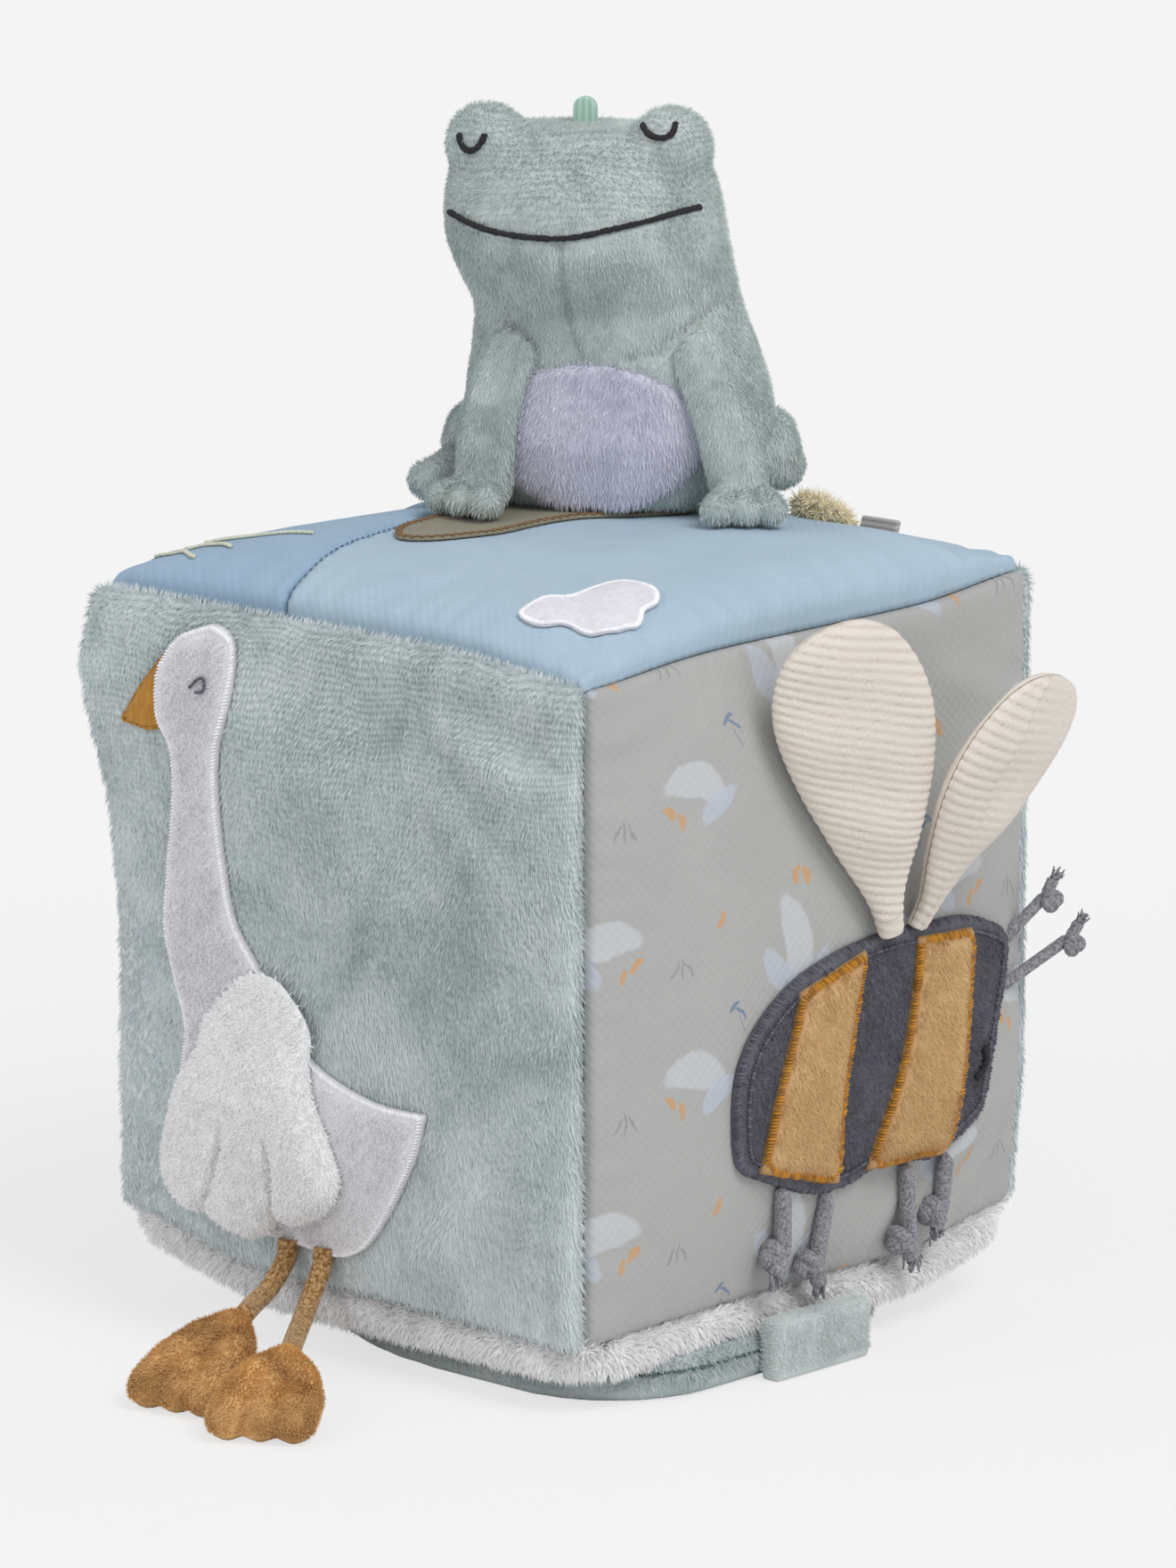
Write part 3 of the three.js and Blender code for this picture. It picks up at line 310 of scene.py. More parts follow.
def dress(piece, material, slot, *instead, body="cube", fill=None):
    """A piece's material, the body it rides on and the CAD nodes it stands for, which it hides. Its slot and stuffing
    are not used.
    """
    piece.data.materials.append(material)
    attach(piece, body)
    if instead:
        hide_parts(*instead)


leg_routes = {
    "left": [
        (-11, -79, 26.6), (-11, -79.5, 22.6), (-10.8, -83.2, 18.4), (-9.4, -88, 16.2), (-6.4, -94.4, 15.6),
        (-2, -101.6, 15.5),
    ],
    "right": [
        (0, -78.95, 26.6), (0, -79.5, 22.2), (0.8, -83.4, 17.2), (4, -89, 14), (10.4, -97.8, 12.5), (18, -107.4, 12),
    ],
}
leg_diameter = 4.6 * mm
leg_sides = 28
plait_turn = 2 * math.pi / (7.6 * mm)  # one turn of a braid strand
plait_depth = 0.17
ochre_cord = cord_material("ochre_cord", dyed(206, 168, 114), dyed(124, 86, 44), 1400.0)


def plaited(way, turns):
    """The radius of the braid: strands that cross over each other both ways."""
    one = np.abs(np.sin(2 * turns + plait_turn * way))
    two = np.abs(np.sin(2 * turns - plait_turn * way))
    return leg_diameter / 2 * (1 - plait_depth + plait_depth * np.maximum(one, two) ** 0.7 * 1.05)


goose_legs = {}
for side, route in leg_routes.items():
    path = evenly(through(np.array(route) * mm, 12), 0.45 * mm)
    points, faces = tube_mesh(path, plaited, leg_sides)
    leg = smooth(new_mesh("goose_leg_cord_" + side, points, faces))
    # Painted shade: how deep each point lies between the braid's strands, for the darker grooves.
    off = np.linalg.norm(points[:-2].reshape(len(path), leg_sides, 3) - path[:, None], axis=2).ravel()
    low = 1 - off / (leg_diameter / 2)
    set_attribute(leg, "groove_shade", np.append(np.clip(low / plait_depth, 0, 1) ** 1.5 * 0.9, [0, 0]))
    dress(leg, ochre_cord, "ochre_cord", "goose_leg_" + side, body="goose_leg_" + side)
    goose_legs[side] = (leg, path)


# The cube: six cut panels sewn over a block of foam. Two are sage plush with a combed pile, two are
# printed cotton, the top is blue cotton and the bottom white fur. Each seam turns inwards.
cube_half = 74.8 * mm
cube_half_high = 75 * mm
cube_middle = 88.5 * mm
edge_round = 6 * mm
edge_draw = 1.2 * mm
seam_depth = 1.1 * mm
seam_wide = 1.3 * mm
seam_gap = 0.12 * mm
panel_thick = 1.7 * mm
X, Y, Z = np.eye(3)
faces_of_cube = {
    "goose": dict(normal=-Y, across=X, up=Z, crown=4.7, fullness=4, roll=2.0),
    "bee": dict(normal=X, across=Y, up=Z, crown=4.7, fullness=4),
    "back": dict(normal=Y, across=-X, up=Z, crown=4.7, fullness=4, roll=2.0),
    "side": dict(normal=-X, across=-Y, up=Z, crown=4.7, fullness=4),
    "top": dict(normal=Z, across=X, up=Y, crown=14.5, fullness=6),
    "bottom": dict(normal=-Z, across=X, up=-Y, crown=7.2, fullness=4),
}
# Places that the filling has pushed out or the sewing has drawn in: where, in millimetres, the way it
# moves, how far, and how far round that it still shows.
pushed_places = (
    ((-74.8, -74.8, 152), (-0.85, -0.6, 0.1), 5.5, 44),
    ((-74.8, -74.8, 166), (0.45, 0.6, -0.3), 6.5, 20),
    ((-74.8, -74.8, 75), (0.7, 0.7, 0), 2.4, 72),
    ((-74.8, -74.8, 13.5), (0.25, 0.25, 0.95), 8.5, 60),
    ((74.8, 74.8, 13.5), (-0.3, -0.3, 0.9), 6.5, 48),
    ((74.8, 74.8, 163.5), (-0.2, -0.2, 0.9), 2.5, 40),
)
edge_rise = 6 * mm  # how far the top seams at the front lie above their corner, which is drawn down
rise_from, rise_over = 150.5 * mm, 13 * mm
low_corner, low_reach, low_drop = np.array([74.8, -74.8]) * mm, 30 * mm, 4.2 * mm
flat_share = 0.45  # of the way from the middle of the top to its edge, where the rise begins
rise_fade = 2.6  # how soon the rise ends along the two seams at the back


def half_along(axis):
    return cube_half_high if abs(axis[2]) > 0.5 else cube_half


def rolled(p, half):
    """A place along the cloth, as the place along the face, how far down the rounded edge, and how near
    the seam."""
    flat = half - edge_round
    turn = np.clip((np.abs(p) - flat) / edge_round, 0, math.pi / 4)
    along = np.sign(p) * (np.minimum(np.abs(p), flat) + edge_round * np.sin(turn))
    return along, edge_round * (1 - np.cos(turn)), turn / (math.pi / 4)


def cloth_reach(axis):
    """From the middle of a face to its seam, along the cloth."""
    return half_along(axis) - edge_round * (1 - math.pi / 4)


def pushed(at):
    """The same points, moved as the filling pushes them out and the sewing draws them in."""
    across, deep = at[..., 0], at[..., 1]
    off_middle = np.maximum(np.abs(across), np.abs(deep)) / cube_half
    to_edge = np.clip((off_middle - flat_share) / (1 - flat_share), 0, 1)
    height = np.clip((at[..., 2] - rise_from) / rise_over, 0, 1)
    height = height**2 * (3 - 2 * height)
    from_low = np.linalg.norm(at[..., :2] - low_corner, axis=-1)
    front = np.clip(1 + rise_fade * (across - deep) / (2 * cube_half), 0, 1)
    rise = edge_rise * to_edge**2 * front * (1 - np.exp(-((from_low / low_reach) ** 2)))
    drop = low_drop * (1 - to_edge**4) * np.exp(-((from_low / (2 * low_reach)) ** 2))
    moved = at + (height * (rise - drop))[..., None] * Z
    for place, direction, reach, spread in pushed_places:
        near = np.clip(1 - np.linalg.norm(at - np.array(place) * mm, axis=-1) / (spread * mm), 0, None)
        moved += (reach * mm * near * near * (3 - 2 * near))[..., None] * np.array(direction)
    return moved


def bare_skin(face, p, q):
    wide, tall = cloth_reach(face["across"]), cloth_reach(face["up"])
    u, v = np.clip(p / wide, -1, 1), np.clip(q / tall, -1, 1)
    a, drop_a, edge_a = rolled(p, half_along(face["across"]))
    b, drop_b, edge_b = rolled(q, half_along(face["up"]))
    full = face["fullness"]
    bulge = face["crown"] * mm * (1 - np.abs(u) ** full) * (1 - np.abs(v) ** full)
    drawn = edge_draw * (u**4 * (1 - v**2) + v**4 * (1 - u**2))
    out = half_along(face["normal"]) + bulge - drawn - drop_a - drop_b
    a = a - np.sign(p) * drop_b * edge_a**2 - edge_draw * u**3 * (1 - v**2)
    b = b - np.sign(q) * drop_a * edge_b**2 - edge_draw * v**3 * (1 - u**2)
    groove_a = seam_depth * np.exp(-(((wide - np.abs(p)) / seam_wide) ** 2)) * (1 - edge_b**2)
    groove_b = seam_depth * np.exp(-(((tall - np.abs(q)) / seam_wide) ** 2)) * (1 - edge_a**2)
    out = out - (groove_a + groove_b) * math.sqrt(0.5)
    a = a - np.sign(p) * (groove_a * math.sqrt(0.5) + seam_gap * edge_a**4)
    b = b - np.sign(q) * (groove_b * math.sqrt(0.5) + seam_gap * edge_b**4)
    at = out[..., None] * face["normal"] + a[..., None] * face["across"] + b[..., None] * face["up"]
    at = at + [0, 0, cube_middle]
    return pushed(at)


def ripple(seed, x, y, wavelength, waves=9):
    """An even, repeatable unevenness between about -1 and 1."""
    draw = np.random.RandomState(seed)
    total = np.zeros(np.broadcast(x, y).shape)
    for _ in range(waves):
        heading = draw.uniform(0, 2 * math.pi)
        long = wavelength * draw.uniform(0.7, 1.6)
        turn = 2 * math.pi / long
        total += np.sin(turn * (x * math.cos(heading) + y * math.sin(heading)) + draw.uniform(0, 2 * math.pi))
    return total / math.sqrt(waves)


# How each face's cloth lies: how deep its soft hollows are and how far apart, how much its seams
# pucker, and the folds that the sewing has left, each from one place to another.
cloth_lie = {
    "goose": dict(
        hollow=1.0, apart=46, pucker=0.3,
        folds=[
            (66, 50, 36, 60, 2.0, 4.5), (56, 30, 30, 48, 1.2, 5), (-70, 20, -52, 2, 1.6, 7),
            (-70, -38, -55, -48, 1.4, 6), (30, -62, 52, -40, 1.2, 6),
        ],
    ),
    "bee": dict(
        hollow=0.35, apart=50, pucker=0.3,
        folds=[
            (14, -70, 40, -36, 0.9, 3.2), (24, -71, 54, -44, 1.1, 3.4), (52, -66, 70, -30, 0.8, 3),
            (70, 48, 40, 60, 0.9, 4), (-68, 60, -46, 66, 0.5, 3),
        ],
    ),
    "back": dict(hollow=0.9, apart=46, pucker=0.25, folds=[(-60, 40, -38, 60, 1.1, 5), (64, -30, 50, -50, 1.1, 6)]),
    "side": dict(hollow=0.35, apart=50, pucker=0.3, folds=[(-60, -66, -40, -38, 0.8, 3.4), (62, 52, 44, 64, 0.7, 4)]),
    "top": dict(
        hollow=0.45, apart=40, pucker=0.42,
        folds=[
            (62, -68, 40, -52, 1.0, 4), (66, -56, 50, -36, 0.7, 4), (0, -70, 14, -52, 0.7, 4),
            (68, 52, 46, 46, 0.9, 4), (-66, 10, -48, 6, 0.7, 4),
        ],
    ),
    "bottom": dict(hollow=0.3, apart=40, pucker=0.0, folds=[]),
}
hollow_reach = 9 * mm  # from the seam, where the hollows reach their full depth
pucker_long, pucker_wander = 8.5 * mm, 30 * mm
pucker_rise, pucker_fade = 1.5 * mm, 6 * mm  # from the seam


def lie(name, p, q):
    """How far the cloth stands out of its smooth shape."""
    how = cloth_lie[name]
    face = faces_of_cube[name]
    wide, tall = cloth_reach(face["across"]), cloth_reach(face["up"])
    to_side, to_end = wide - np.abs(p), tall - np.abs(q)
    inside = np.clip(np.minimum(to_side, to_end) / hollow_reach, 0, 1) ** 1.5
    seed = sorted(cloth_lie).index(name) + 3
    height = how["hollow"] * mm * ripple(seed, p, q, how["apart"] * mm) * inside
    for near_seam, along, stage in ((to_side, q, 1), (to_end, p, 2)):
        drift = 2.2 * ripple(seed + 20 * stage, along, 0 * along, pucker_wander, 4)
        wave = np.sin(2 * math.pi * along / pucker_long + drift)
        fade = np.exp(-near_seam / pucker_fade) * (1 - np.exp(-near_seam / pucker_rise))
        height += how["pucker"] * mm * 2 * wave * fade * inside**0.15
    for x0, y0, x1, y1, high, broad in how["folds"]:
        ax, ay, bx, by = x0 * mm, y0 * mm, x1 * mm, y1 * mm
        span = math.hypot(bx - ax, by - ay)
        t = ((p - ax) * (bx - ax) + (q - ay) * (by - ay)) / span**2
        off = ((p - ax) * (by - ay) - (q - ay) * (bx - ax)) / span
        window = np.exp(-((np.clip(np.abs(t - 0.4) - 0.35, 0, None) / 0.3) ** 2))
        off = off / (broad * mm)
        crest = np.exp(-(off**2)) - 0.55 * np.exp(-((off - 1.6) ** 2))
        height += high * mm * window * crest * inside
    return height


roll_rise = 1.4 * mm  # from the seam, where a plush panel reaches its full thickness
roll_reach = 12 * mm


def on_cloth(name, p, q, lift=0.0):
    """Points of a face's cloth and the directions straight out of it, by metres across and up the face."""
    face = faces_of_cube[name]
    p, q = np.asarray(p, float), np.asarray(q, float)
    step = 0.4 * mm

    def place(p, q):
        flat = bare_skin(face, p, q)
        return flat + lie(name, p, q)[..., None] * face["normal"]

    out = unit(np.cross(place(p + step, q) - place(p - step, q), place(p, q + step) - place(p, q - step)))
    lift = np.asarray(lift, float)
    wide, tall = cloth_reach(face["across"]), cloth_reach(face["up"])
    from_seam = np.clip(np.minimum(wide - np.abs(p), tall - np.abs(q)), 0, None)
    puffed = face.get("roll", 0) * mm * (1 - np.exp(-((from_seam / roll_rise) ** 2))) * np.exp(-from_seam / roll_reach)
    return place(p, q) + out * (lift + puffed)[..., None], out


edge_marks = np.array([0, 0.5, 1.0, 1.6, 2.3, 3.1, 4.2]) * mm
end_of_edge = 5.6 * mm


def marks(span, pitch):
    """Shares of a span, close together at its two ends."""
    middle = np.linspace(end_of_edge, span - end_of_edge, max(3, round((span - 2 * end_of_edge) / pitch)))
    return np.concatenate([edge_marks, middle, span - edge_marks[::-1]]) / span


def closed_sheet(rows, columns):
    """Faces of a sheet of two skins, each with its points in rows, closed round the four edges."""
    count = rows * columns
    index = np.arange(count).reshape(rows, columns)
    a, b, c, d = (g.ravel() for g in (index[:-1, :-1], index[:-1, 1:], index[1:, 1:], index[1:, :-1]))
    quads = [np.stack([a, b, c, d], 1), np.stack([a, d, c, b], 1) + count]
    for one, two in (
        (index[0, :-1], index[0, 1:]), (index[-1, 1:], index[-1, :-1]),
        (index[1:, 0], index[:-1, 0]), (index[:-1, -1], index[1:, -1]),
    ):
        quads.append(np.stack([one + count, two + count, two, one], 1))
    return np.vstack(quads)


def map_cloth(piece, flat):
    """The piece's cloth map, in tenths of a metre along the cloth."""
    layer = piece.data.uv_layers.new(name="cloth")
    corners = np.zeros(len(piece.data.loops), np.int32)
    piece.data.loops.foreach_get("vertex_index", corners)
    layer.data.foreach_set("uv", (flat[corners] * 10).astype(np.float32).ravel())


join_sink, join_wide = 0.9 * mm, 1.0 * mm  # how deep a seam between two cuts of one face lies
gather_high, gather_long, gather_wander = 0.35 * mm, 7.2 * mm, 24 * mm
gather_rise, gather_fade = 1.2 * mm, 4.5 * mm  # from that seam
seam_shade = 2.2 * mm  # how far the painted shade along a seam reaches


def sew_panel(piece_name, face_name, pitch, left=None, right=None):
    """A closed cut of cloth over a face, from one edge to the other."""
    face = faces_of_cube[face_name]
    wide, tall = cloth_reach(face["across"]), cloth_reach(face["up"])
    q = (marks(2 * tall, pitch) * 2 - 1) * tall
    low = np.full(len(q), -wide) if left is None else left(q)
    high = np.full(len(q), wide) if right is None else right(q)
    w = marks(float(np.mean(high - low)), pitch)
    p = low[:, None] + (high - low)[:, None] * w
    q = np.repeat(q[:, None], len(w), 1)
    outer, out = on_cloth(face_name, p, q)
    sink = np.zeros(p.shape)
    for edge, side in ((left, low), (right, high)):
        if edge is not None:
            away = np.abs(p - side[:, None])
            sink += join_sink * np.exp(-((away / join_wide) ** 2))
            gather = np.sin(2 * math.pi * q / gather_long + 1.6 * ripple(71, q, 0 * q, gather_wander, 4))
            sink -= gather_high * gather * np.exp(-away / gather_fade) * (1 - np.exp(-away / gather_rise))
    outer = outer - out * sink[..., None]
    inner = outer - out * panel_thick
    points = np.vstack([outer.reshape(-1, 3), inner.reshape(-1, 3)])
    made = smooth(new_mesh(piece_name, points, closed_sheet(*p.shape)))
    map_cloth(made, np.tile(np.stack([p.ravel(), q.ravel()], 1), (2, 1)))
    from_seam = np.minimum(np.abs(p - low[:, None]), np.abs(high[:, None] - p))
    from_seam = np.minimum(from_seam, tall - np.abs(q))
    # For the painted shade along the seams: how near each point lies to a seam.
    set_attribute(made, "seam", np.tile(np.exp(-from_seam / seam_shade).ravel(), 2))
    return made, p, q, out


def varied(tree, share, seed):
    """A random value from that share under one to that share over it."""
    low, high = maths(tree, "SUBTRACT", 1.0, share), maths(tree, "ADD", 1.0, share)
    return add_node(tree, "FunctionNodeRandomValue", {2: low, 3: high, 8: seed}, data_type="FLOAT").outputs[1]


def end_scatter(tree, copies, material):
    """Gives each copy a shade of its own and makes them one mesh of one material."""
    shade = add_node(tree, "FunctionNodeRandomValue", {2: 0.0, 3: 1.0, 8: 9}, data_type="FLOAT")
    shaded = add_node(
        tree, "GeometryNodeStoreNamedAttribute", {0: copies, 2: "shade", 3: shade.outputs[1]},
        data_type="FLOAT", domain="INSTANCE",
    )
    real = add_node(tree, "GeometryNodeRealizeInstances", {0: shaded})
    dyed_copies = add_node(tree, "GeometryNodeSetMaterial", {0: real, 2: material})
    add_node(tree, "NodeGroupOutput", {0: dyed_copies})


def pile_tree():
    """Tapered strands of pile, scattered over a piece. Each leans along the piece's comb, with a swirl."""
    tree = bpy.data.node_groups.new("pile", "GeometryNodeTree")
    tree.is_modifier = True
    sockets(tree, "INPUT", "Geometry", "Cloth")
    sockets(tree, "INPUT", "Float", "Density", "Length", "Width", "Swirl", "Swirl Scale", "Stray", "Uneven")
    sockets(tree, "INPUT", "Int", "Seed")
    sockets(tree, "INPUT", "Material", "Yarn")
    sockets(tree, "OUTPUT", "Geometry", "Pile")
    given = add_node(tree, "NodeGroupInput").outputs
    where = add_node(tree, "GeometryNodeInputNamedAttribute", {0: "pile"}, data_type="FLOAT")
    comb = add_node(tree, "GeometryNodeInputNamedAttribute", {0: "comb"}, data_type="FLOAT_VECTOR")
    dense = maths(tree, "MULTIPLY", where, given["Density"])
    scatter = add_node(
        tree, "GeometryNodeDistributePointsOnFaces",
        {0: given["Cloth"], 4: dense, 6: given["Seed"]}, distribute_method="RANDOM",
    )
    at = add_node(tree, "GeometryNodeInputPosition")
    drift = add_node(tree, "ShaderNodeTexNoise", {0: at, 2: given["Swirl Scale"], 3: 2.0})
    drift = vector_maths(tree, "SUBTRACT", drift.outputs[1], (0.5, 0.5, 0.5))
    drift = scaled_by(tree, drift.outputs[0], given["Swirl"])
    stray = add_node(
        tree, "FunctionNodeRandomValue", {0: (-1, -1, -1), 1: (1, 1, 1), 8: given["Seed"]}, data_type="FLOAT_VECTOR",
    )
    stray = scaled_by(tree, stray.outputs[0], given["Stray"])
    lean = vector_maths(tree, "ADD", comb, drift)
    lean = vector_maths(tree, "ADD", lean, stray)
    stand = vector_maths(tree, "ADD", lean, scatter.outputs[1])
    turn = add_node(tree, "FunctionNodeAlignRotationToVector", {2: stand}, axis="Z")
    bottom = maths(tree, "MULTIPLY", given["Width"], 0.5)
    strand = add_node(
        tree, "GeometryNodeMeshCone", {0: 3, 1: 1, 2: 1, 3: 0.0, 4: bottom, 5: given["Length"]}, fill_type="NGON",
    )
    axis = add_node(tree, "ShaderNodeSeparateXYZ", {0: at})
    tip = maths(tree, "DIVIDE", axis.outputs[2], given["Length"])
    tipped = add_node(
        tree, "GeometryNodeStoreNamedAttribute", {0: strand, 2: "tip", 3: tip}, data_type="FLOAT", domain="POINT",
    )
    placed = add_node(
        tree, "GeometryNodeInstanceOnPoints",
        {0: scatter, 2: tipped, 5: turn, 6: varied(tree, given["Uneven"], 5)},
    )
    end_scatter(tree, placed, given["Yarn"])
    return tree


pile = pile_tree()


def grow(base, tree, name, slot, body="cube", **inputs):
    """What a tree makes of a piece, as a plain mesh of its own."""
    maker = base.modifiers.new(tree.name, "NODES")
    maker.node_group = tree
    for item in tree.interface.items_tree:
        key = item.name.lower().replace(" ", "_")
        if item.in_out == "INPUT" and key in inputs:
            maker[item.identifier] = inputs[key]
    bpy.context.view_layer.update()
    ready = base.evaluated_get(bpy.context.evaluated_depsgraph_get())
    mesh = bpy.data.meshes.new_from_object(ready)
    base.modifiers.remove(maker)
    made = bpy.data.objects.new(name, mesh)
    mesh.name = name
    bpy.context.scene.collection.objects.link(made)
    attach(made, body)
    return made


def skin_of(piece):
    """A piece's points and the directions straight out of it."""
    held = np.zeros((2, len(piece.data.vertices) * 3))
    piece.data.vertices.foreach_get("co", held[0])
    piece.data.vertices.foreach_get("normal", held[1])
    return held[0].reshape(-1, 3), held[1].reshape(-1, 3)


def comb_over(out, direction):
    """Lean of the pile: a direction, laid along the cloth."""
    direction = np.broadcast_to(np.asarray(direction, float), out.shape)
    return direction - out * np.sum(direction * out, axis=-1, keepdims=True)


def fluff_up(piece, name, yarn, slot, direction, keep=None, out=None, body="cube", **how):
    """Pile over a piece, combed in one direction, on the points that are kept."""
    at, normals = skin_of(piece)
    set_attribute(piece, "comb", comb_over(normals if out is None else out, direction), "FLOAT_VECTOR")
    set_attribute(piece, "pile", np.ones(len(at)) if keep is None else keep)
    grow(piece, pile, name, slot, body, yarn=yarn, **how)


nap_scale = 215.0  # bands of the wave texture, about 1.5 mm apart
nap_wander = 16.0


def plush_material(name, light, dark, patch_scale=42.0, patch_share=0.45, sheen=0.35, root_share=0.45, rows=None,
                   painted_light_spots=(), edge_shade=None):
    """Pile yarn: painted shade darkens it at the root, and it is lighter in patches where the nap lies another way.
    Between the two heights of rows, level rows of the knitted ground come in. Painted light spots, each with its
    radius and share, are lighter. Edge shade is the colour of the painted shade close to its piece's edge."""
    made, tree, shader, place = new_material(name, 0.95, sheen, light)
    uneven = uneven_at(tree, place, 420.0, patch_scale)
    tip = marked(tree, "tip")
    shade = marked(tree, "shade")
    patch = maths(tree, "MULTIPLY", uneven.outputs[1], patch_share)
    grain = maths(tree, "MULTIPLY_ADD", shade, 0.36, patch)
    fibre = maths(tree, "MULTIPLY_ADD", uneven, 0.5, grain)
    # Painted shade at the root of each strand: the tip is lighter.
    lit = maths(tree, "MULTIPLY_ADD", tip, root_share, fibre, use_clamp=True)
    if rows:
        low, high, share = rows
        band = add_node(
            tree, "ShaderNodeTexWave",
            {"Vector": place, "Scale": nap_scale, "Distortion": nap_wander, "Detail Scale": 0.22},
            bands_direction="Z",
        )
        level = add_node(tree, "ShaderNodeSeparateXYZ", {0: place})
        above = ranged(tree, level.outputs[2], low, high, 0.0, share)
        swing = maths(tree, "SUBTRACT", band.outputs["Fac"], 0.5)
        lit = maths(tree, "MULTIPLY_ADD", swing, above, lit, use_clamp=True)
    # Painted light: each spot is lighter towards its middle.
    for middle, radius, share in painted_light_spots:
        away = vector_maths(tree, "DISTANCE", place, middle)
        near = ranged(tree, away.outputs["Value"], radius, 0.0, 0.0, share, interpolation_type="SMOOTHSTEP")
        lit = maths(tree, "ADD", lit, near, use_clamp=True)
    colour = mixed(tree, lit, dark, light)
    # Painted shade close to the piece's edge, beside its raised border.
    if edge_shade:
        gap = marked(tree, "gap")
        edge = ranged(tree, gap, 1.6, 4.2, 0.6, 0.0)
        colour = mixed(tree, edge, colour, edge_shade)
    tree.links.new(colour, shader.inputs["Base Color"])
    rough_height(tree, shader, uneven, 0.0006, 0.6)
    return made


# Painted light on the goose's face: each spot's middle, radius and share of lightening.
sage_painted_light_spots = (
    ((-0.076, -0.08, 0.07), 0.08, 0.45), ((-0.02, -0.08, 0.015), 0.06, 0.5), ((0.045, -0.08, 0.03), 0.06, 0.35),
    ((-0.076, -0.08, 0.15), 0.035, 0.3),
)
sage_yarn = plush_material(
    "sage_plush", dyed(222, 229, 230), dyed(146, 161, 160), patch_share=0.38, rows=(0.09, 0.155, 0.32),
    painted_light_spots=sage_painted_light_spots,
)


def inside_of(rim, p, q):
    """For each place, whether it lies inside a closed outline, and how far from that outline."""
    rim = np.asarray(rim)
    p, q = p.ravel(), q.ravel()
    inside = np.zeros(len(p), bool)
    gap = np.full(len(p), 1e9)
    for (x0, y0), (x1, y1) in zip(rim, np.roll(rim, -1, 0)):
        inside ^= ((y0 > q) != (y1 > q)) & (p < (x1 - x0) * (q - y0) / ((y1 - y0) or 1e-12) + x0)
        span = (x1 - x0) ** 2 + (y1 - y0) ** 2 or 1e-12
        t = np.clip(((p - x0) * (x1 - x0) + (q - y0) * (y1 - y0)) / span, 0, 1)
        gap = np.minimum(gap, np.hypot(p - x0 - t * (x1 - x0), q - y0 - t * (y1 - y0)))
    return inside, gap


def boxed(shares, wide, tall, across, up):
    """An outline drawn in shares of its box, at its place on the face."""
    return [((across + (x - 0.5) * wide) * mm, (up + (y - 0.5) * tall) * mm) for x, y in shares]


goose_wide, goose_tall, goose_across, goose_up = 84, 134, -9.7, 3
goose_shares = [
    (1, 0.282), (0.965, 0.21), (0.88, 0.115), (0.794, 0.044), (0.707, 0.008), (0.603, 0), (0.5, 0.007),
    (0.378, 0.015), (0.247, 0.038), (0.147, 0.091), (0.085, 0.168), (0.07, 0.245), (0.1, 0.338),
    (0.055, 0.426), (0.025, 0.5), (0.04, 0.6), (0.065, 0.723), (0.07, 0.806), (0.035, 0.85), (0.028, 0.9),
    (0.04, 0.945), (0.08, 0.978), (0.187, 1), (0.264, 0.995), (0.292, 0.967), (0.283, 0.896),
    (0.247, 0.816), (0.241, 0.738), (0.257, 0.647), (0.3, 0.543), (0.387, 0.474), (0.54, 0.365),
    (0.661, 0.315), (0.83, 0.284), (1, 0.282),
]
goose_rim = evenly(
    through(boxed(goose_shares, goose_wide, goose_tall, goose_across, goose_up), 5)[:-1], 1.3 * mm, closed=True,
)

# Plush panels. On the goose's face the upper pile lies in level rows, and the rest falls down and to
# the right with swirls.
pile_length = 1.7 * mm
pile_width = 0.3 * mm
panel_fill = 0.9
plush_pitch = 2.2 * mm  # between a panel's points
level_from, level_over = 6 * mm, 40 * mm  # up from the middle of a face, where level rows take over
top_comb = 3.5 * mm  # down from the top seam, where the pile turns upwards
under_goose = 0.6 * mm  # from the goose's outline, how far the panel's pile still goes in under it
for piece_name, face_name, node, density, seed in (
    ("goose_face_plush", "goose", "goose_panel", 2.4e6, 11),
    ("back_face_plush", "back", "back_panel", 2.1e6, 12),
):
    panel, p, q, out = sew_panel(piece_name, face_name, plush_pitch)
    face = faces_of_cube[face_name]
    upper = np.clip((q - level_from) / level_over, 0, 1)[..., None]
    fall = comb_over(out, -1.35 * face["up"] + 0.45 * face["across"])
    level = comb_over(out, -1.5 * face["up"] + 0.2 * face["across"])
    comb = fall * (1 - upper) + level * upper
    at_top = np.exp(-(cloth_reach(face["up"]) - q) / top_comb)[..., None]
    comb = comb * (1 - at_top) + comb_over(out, face["up"]) * at_top
    set_attribute(panel, "comb", np.tile(comb.reshape(-1, 3), (2, 1)), "FLOAT_VECTOR")
    clear = np.ones(p.size, bool)
    if face_name == "goose":
        within, gap = inside_of(goose_rim, p, q)
        clear = ~(within & (gap > under_goose))
    set_attribute(panel, "pile", np.concatenate([clear, np.zeros(p.size)]))
    dress(panel, sage_yarn, "sage_plush", node, fill=panel_fill)
    grow(
        panel, pile, piece_name + "_pile", "sage_plush", density=density, length=pile_length, width=pile_width,
        swirl=1.9, swirl_scale=38.0, stray=0.16, uneven=0.28, seed=seed, yarn=sage_yarn,
    )

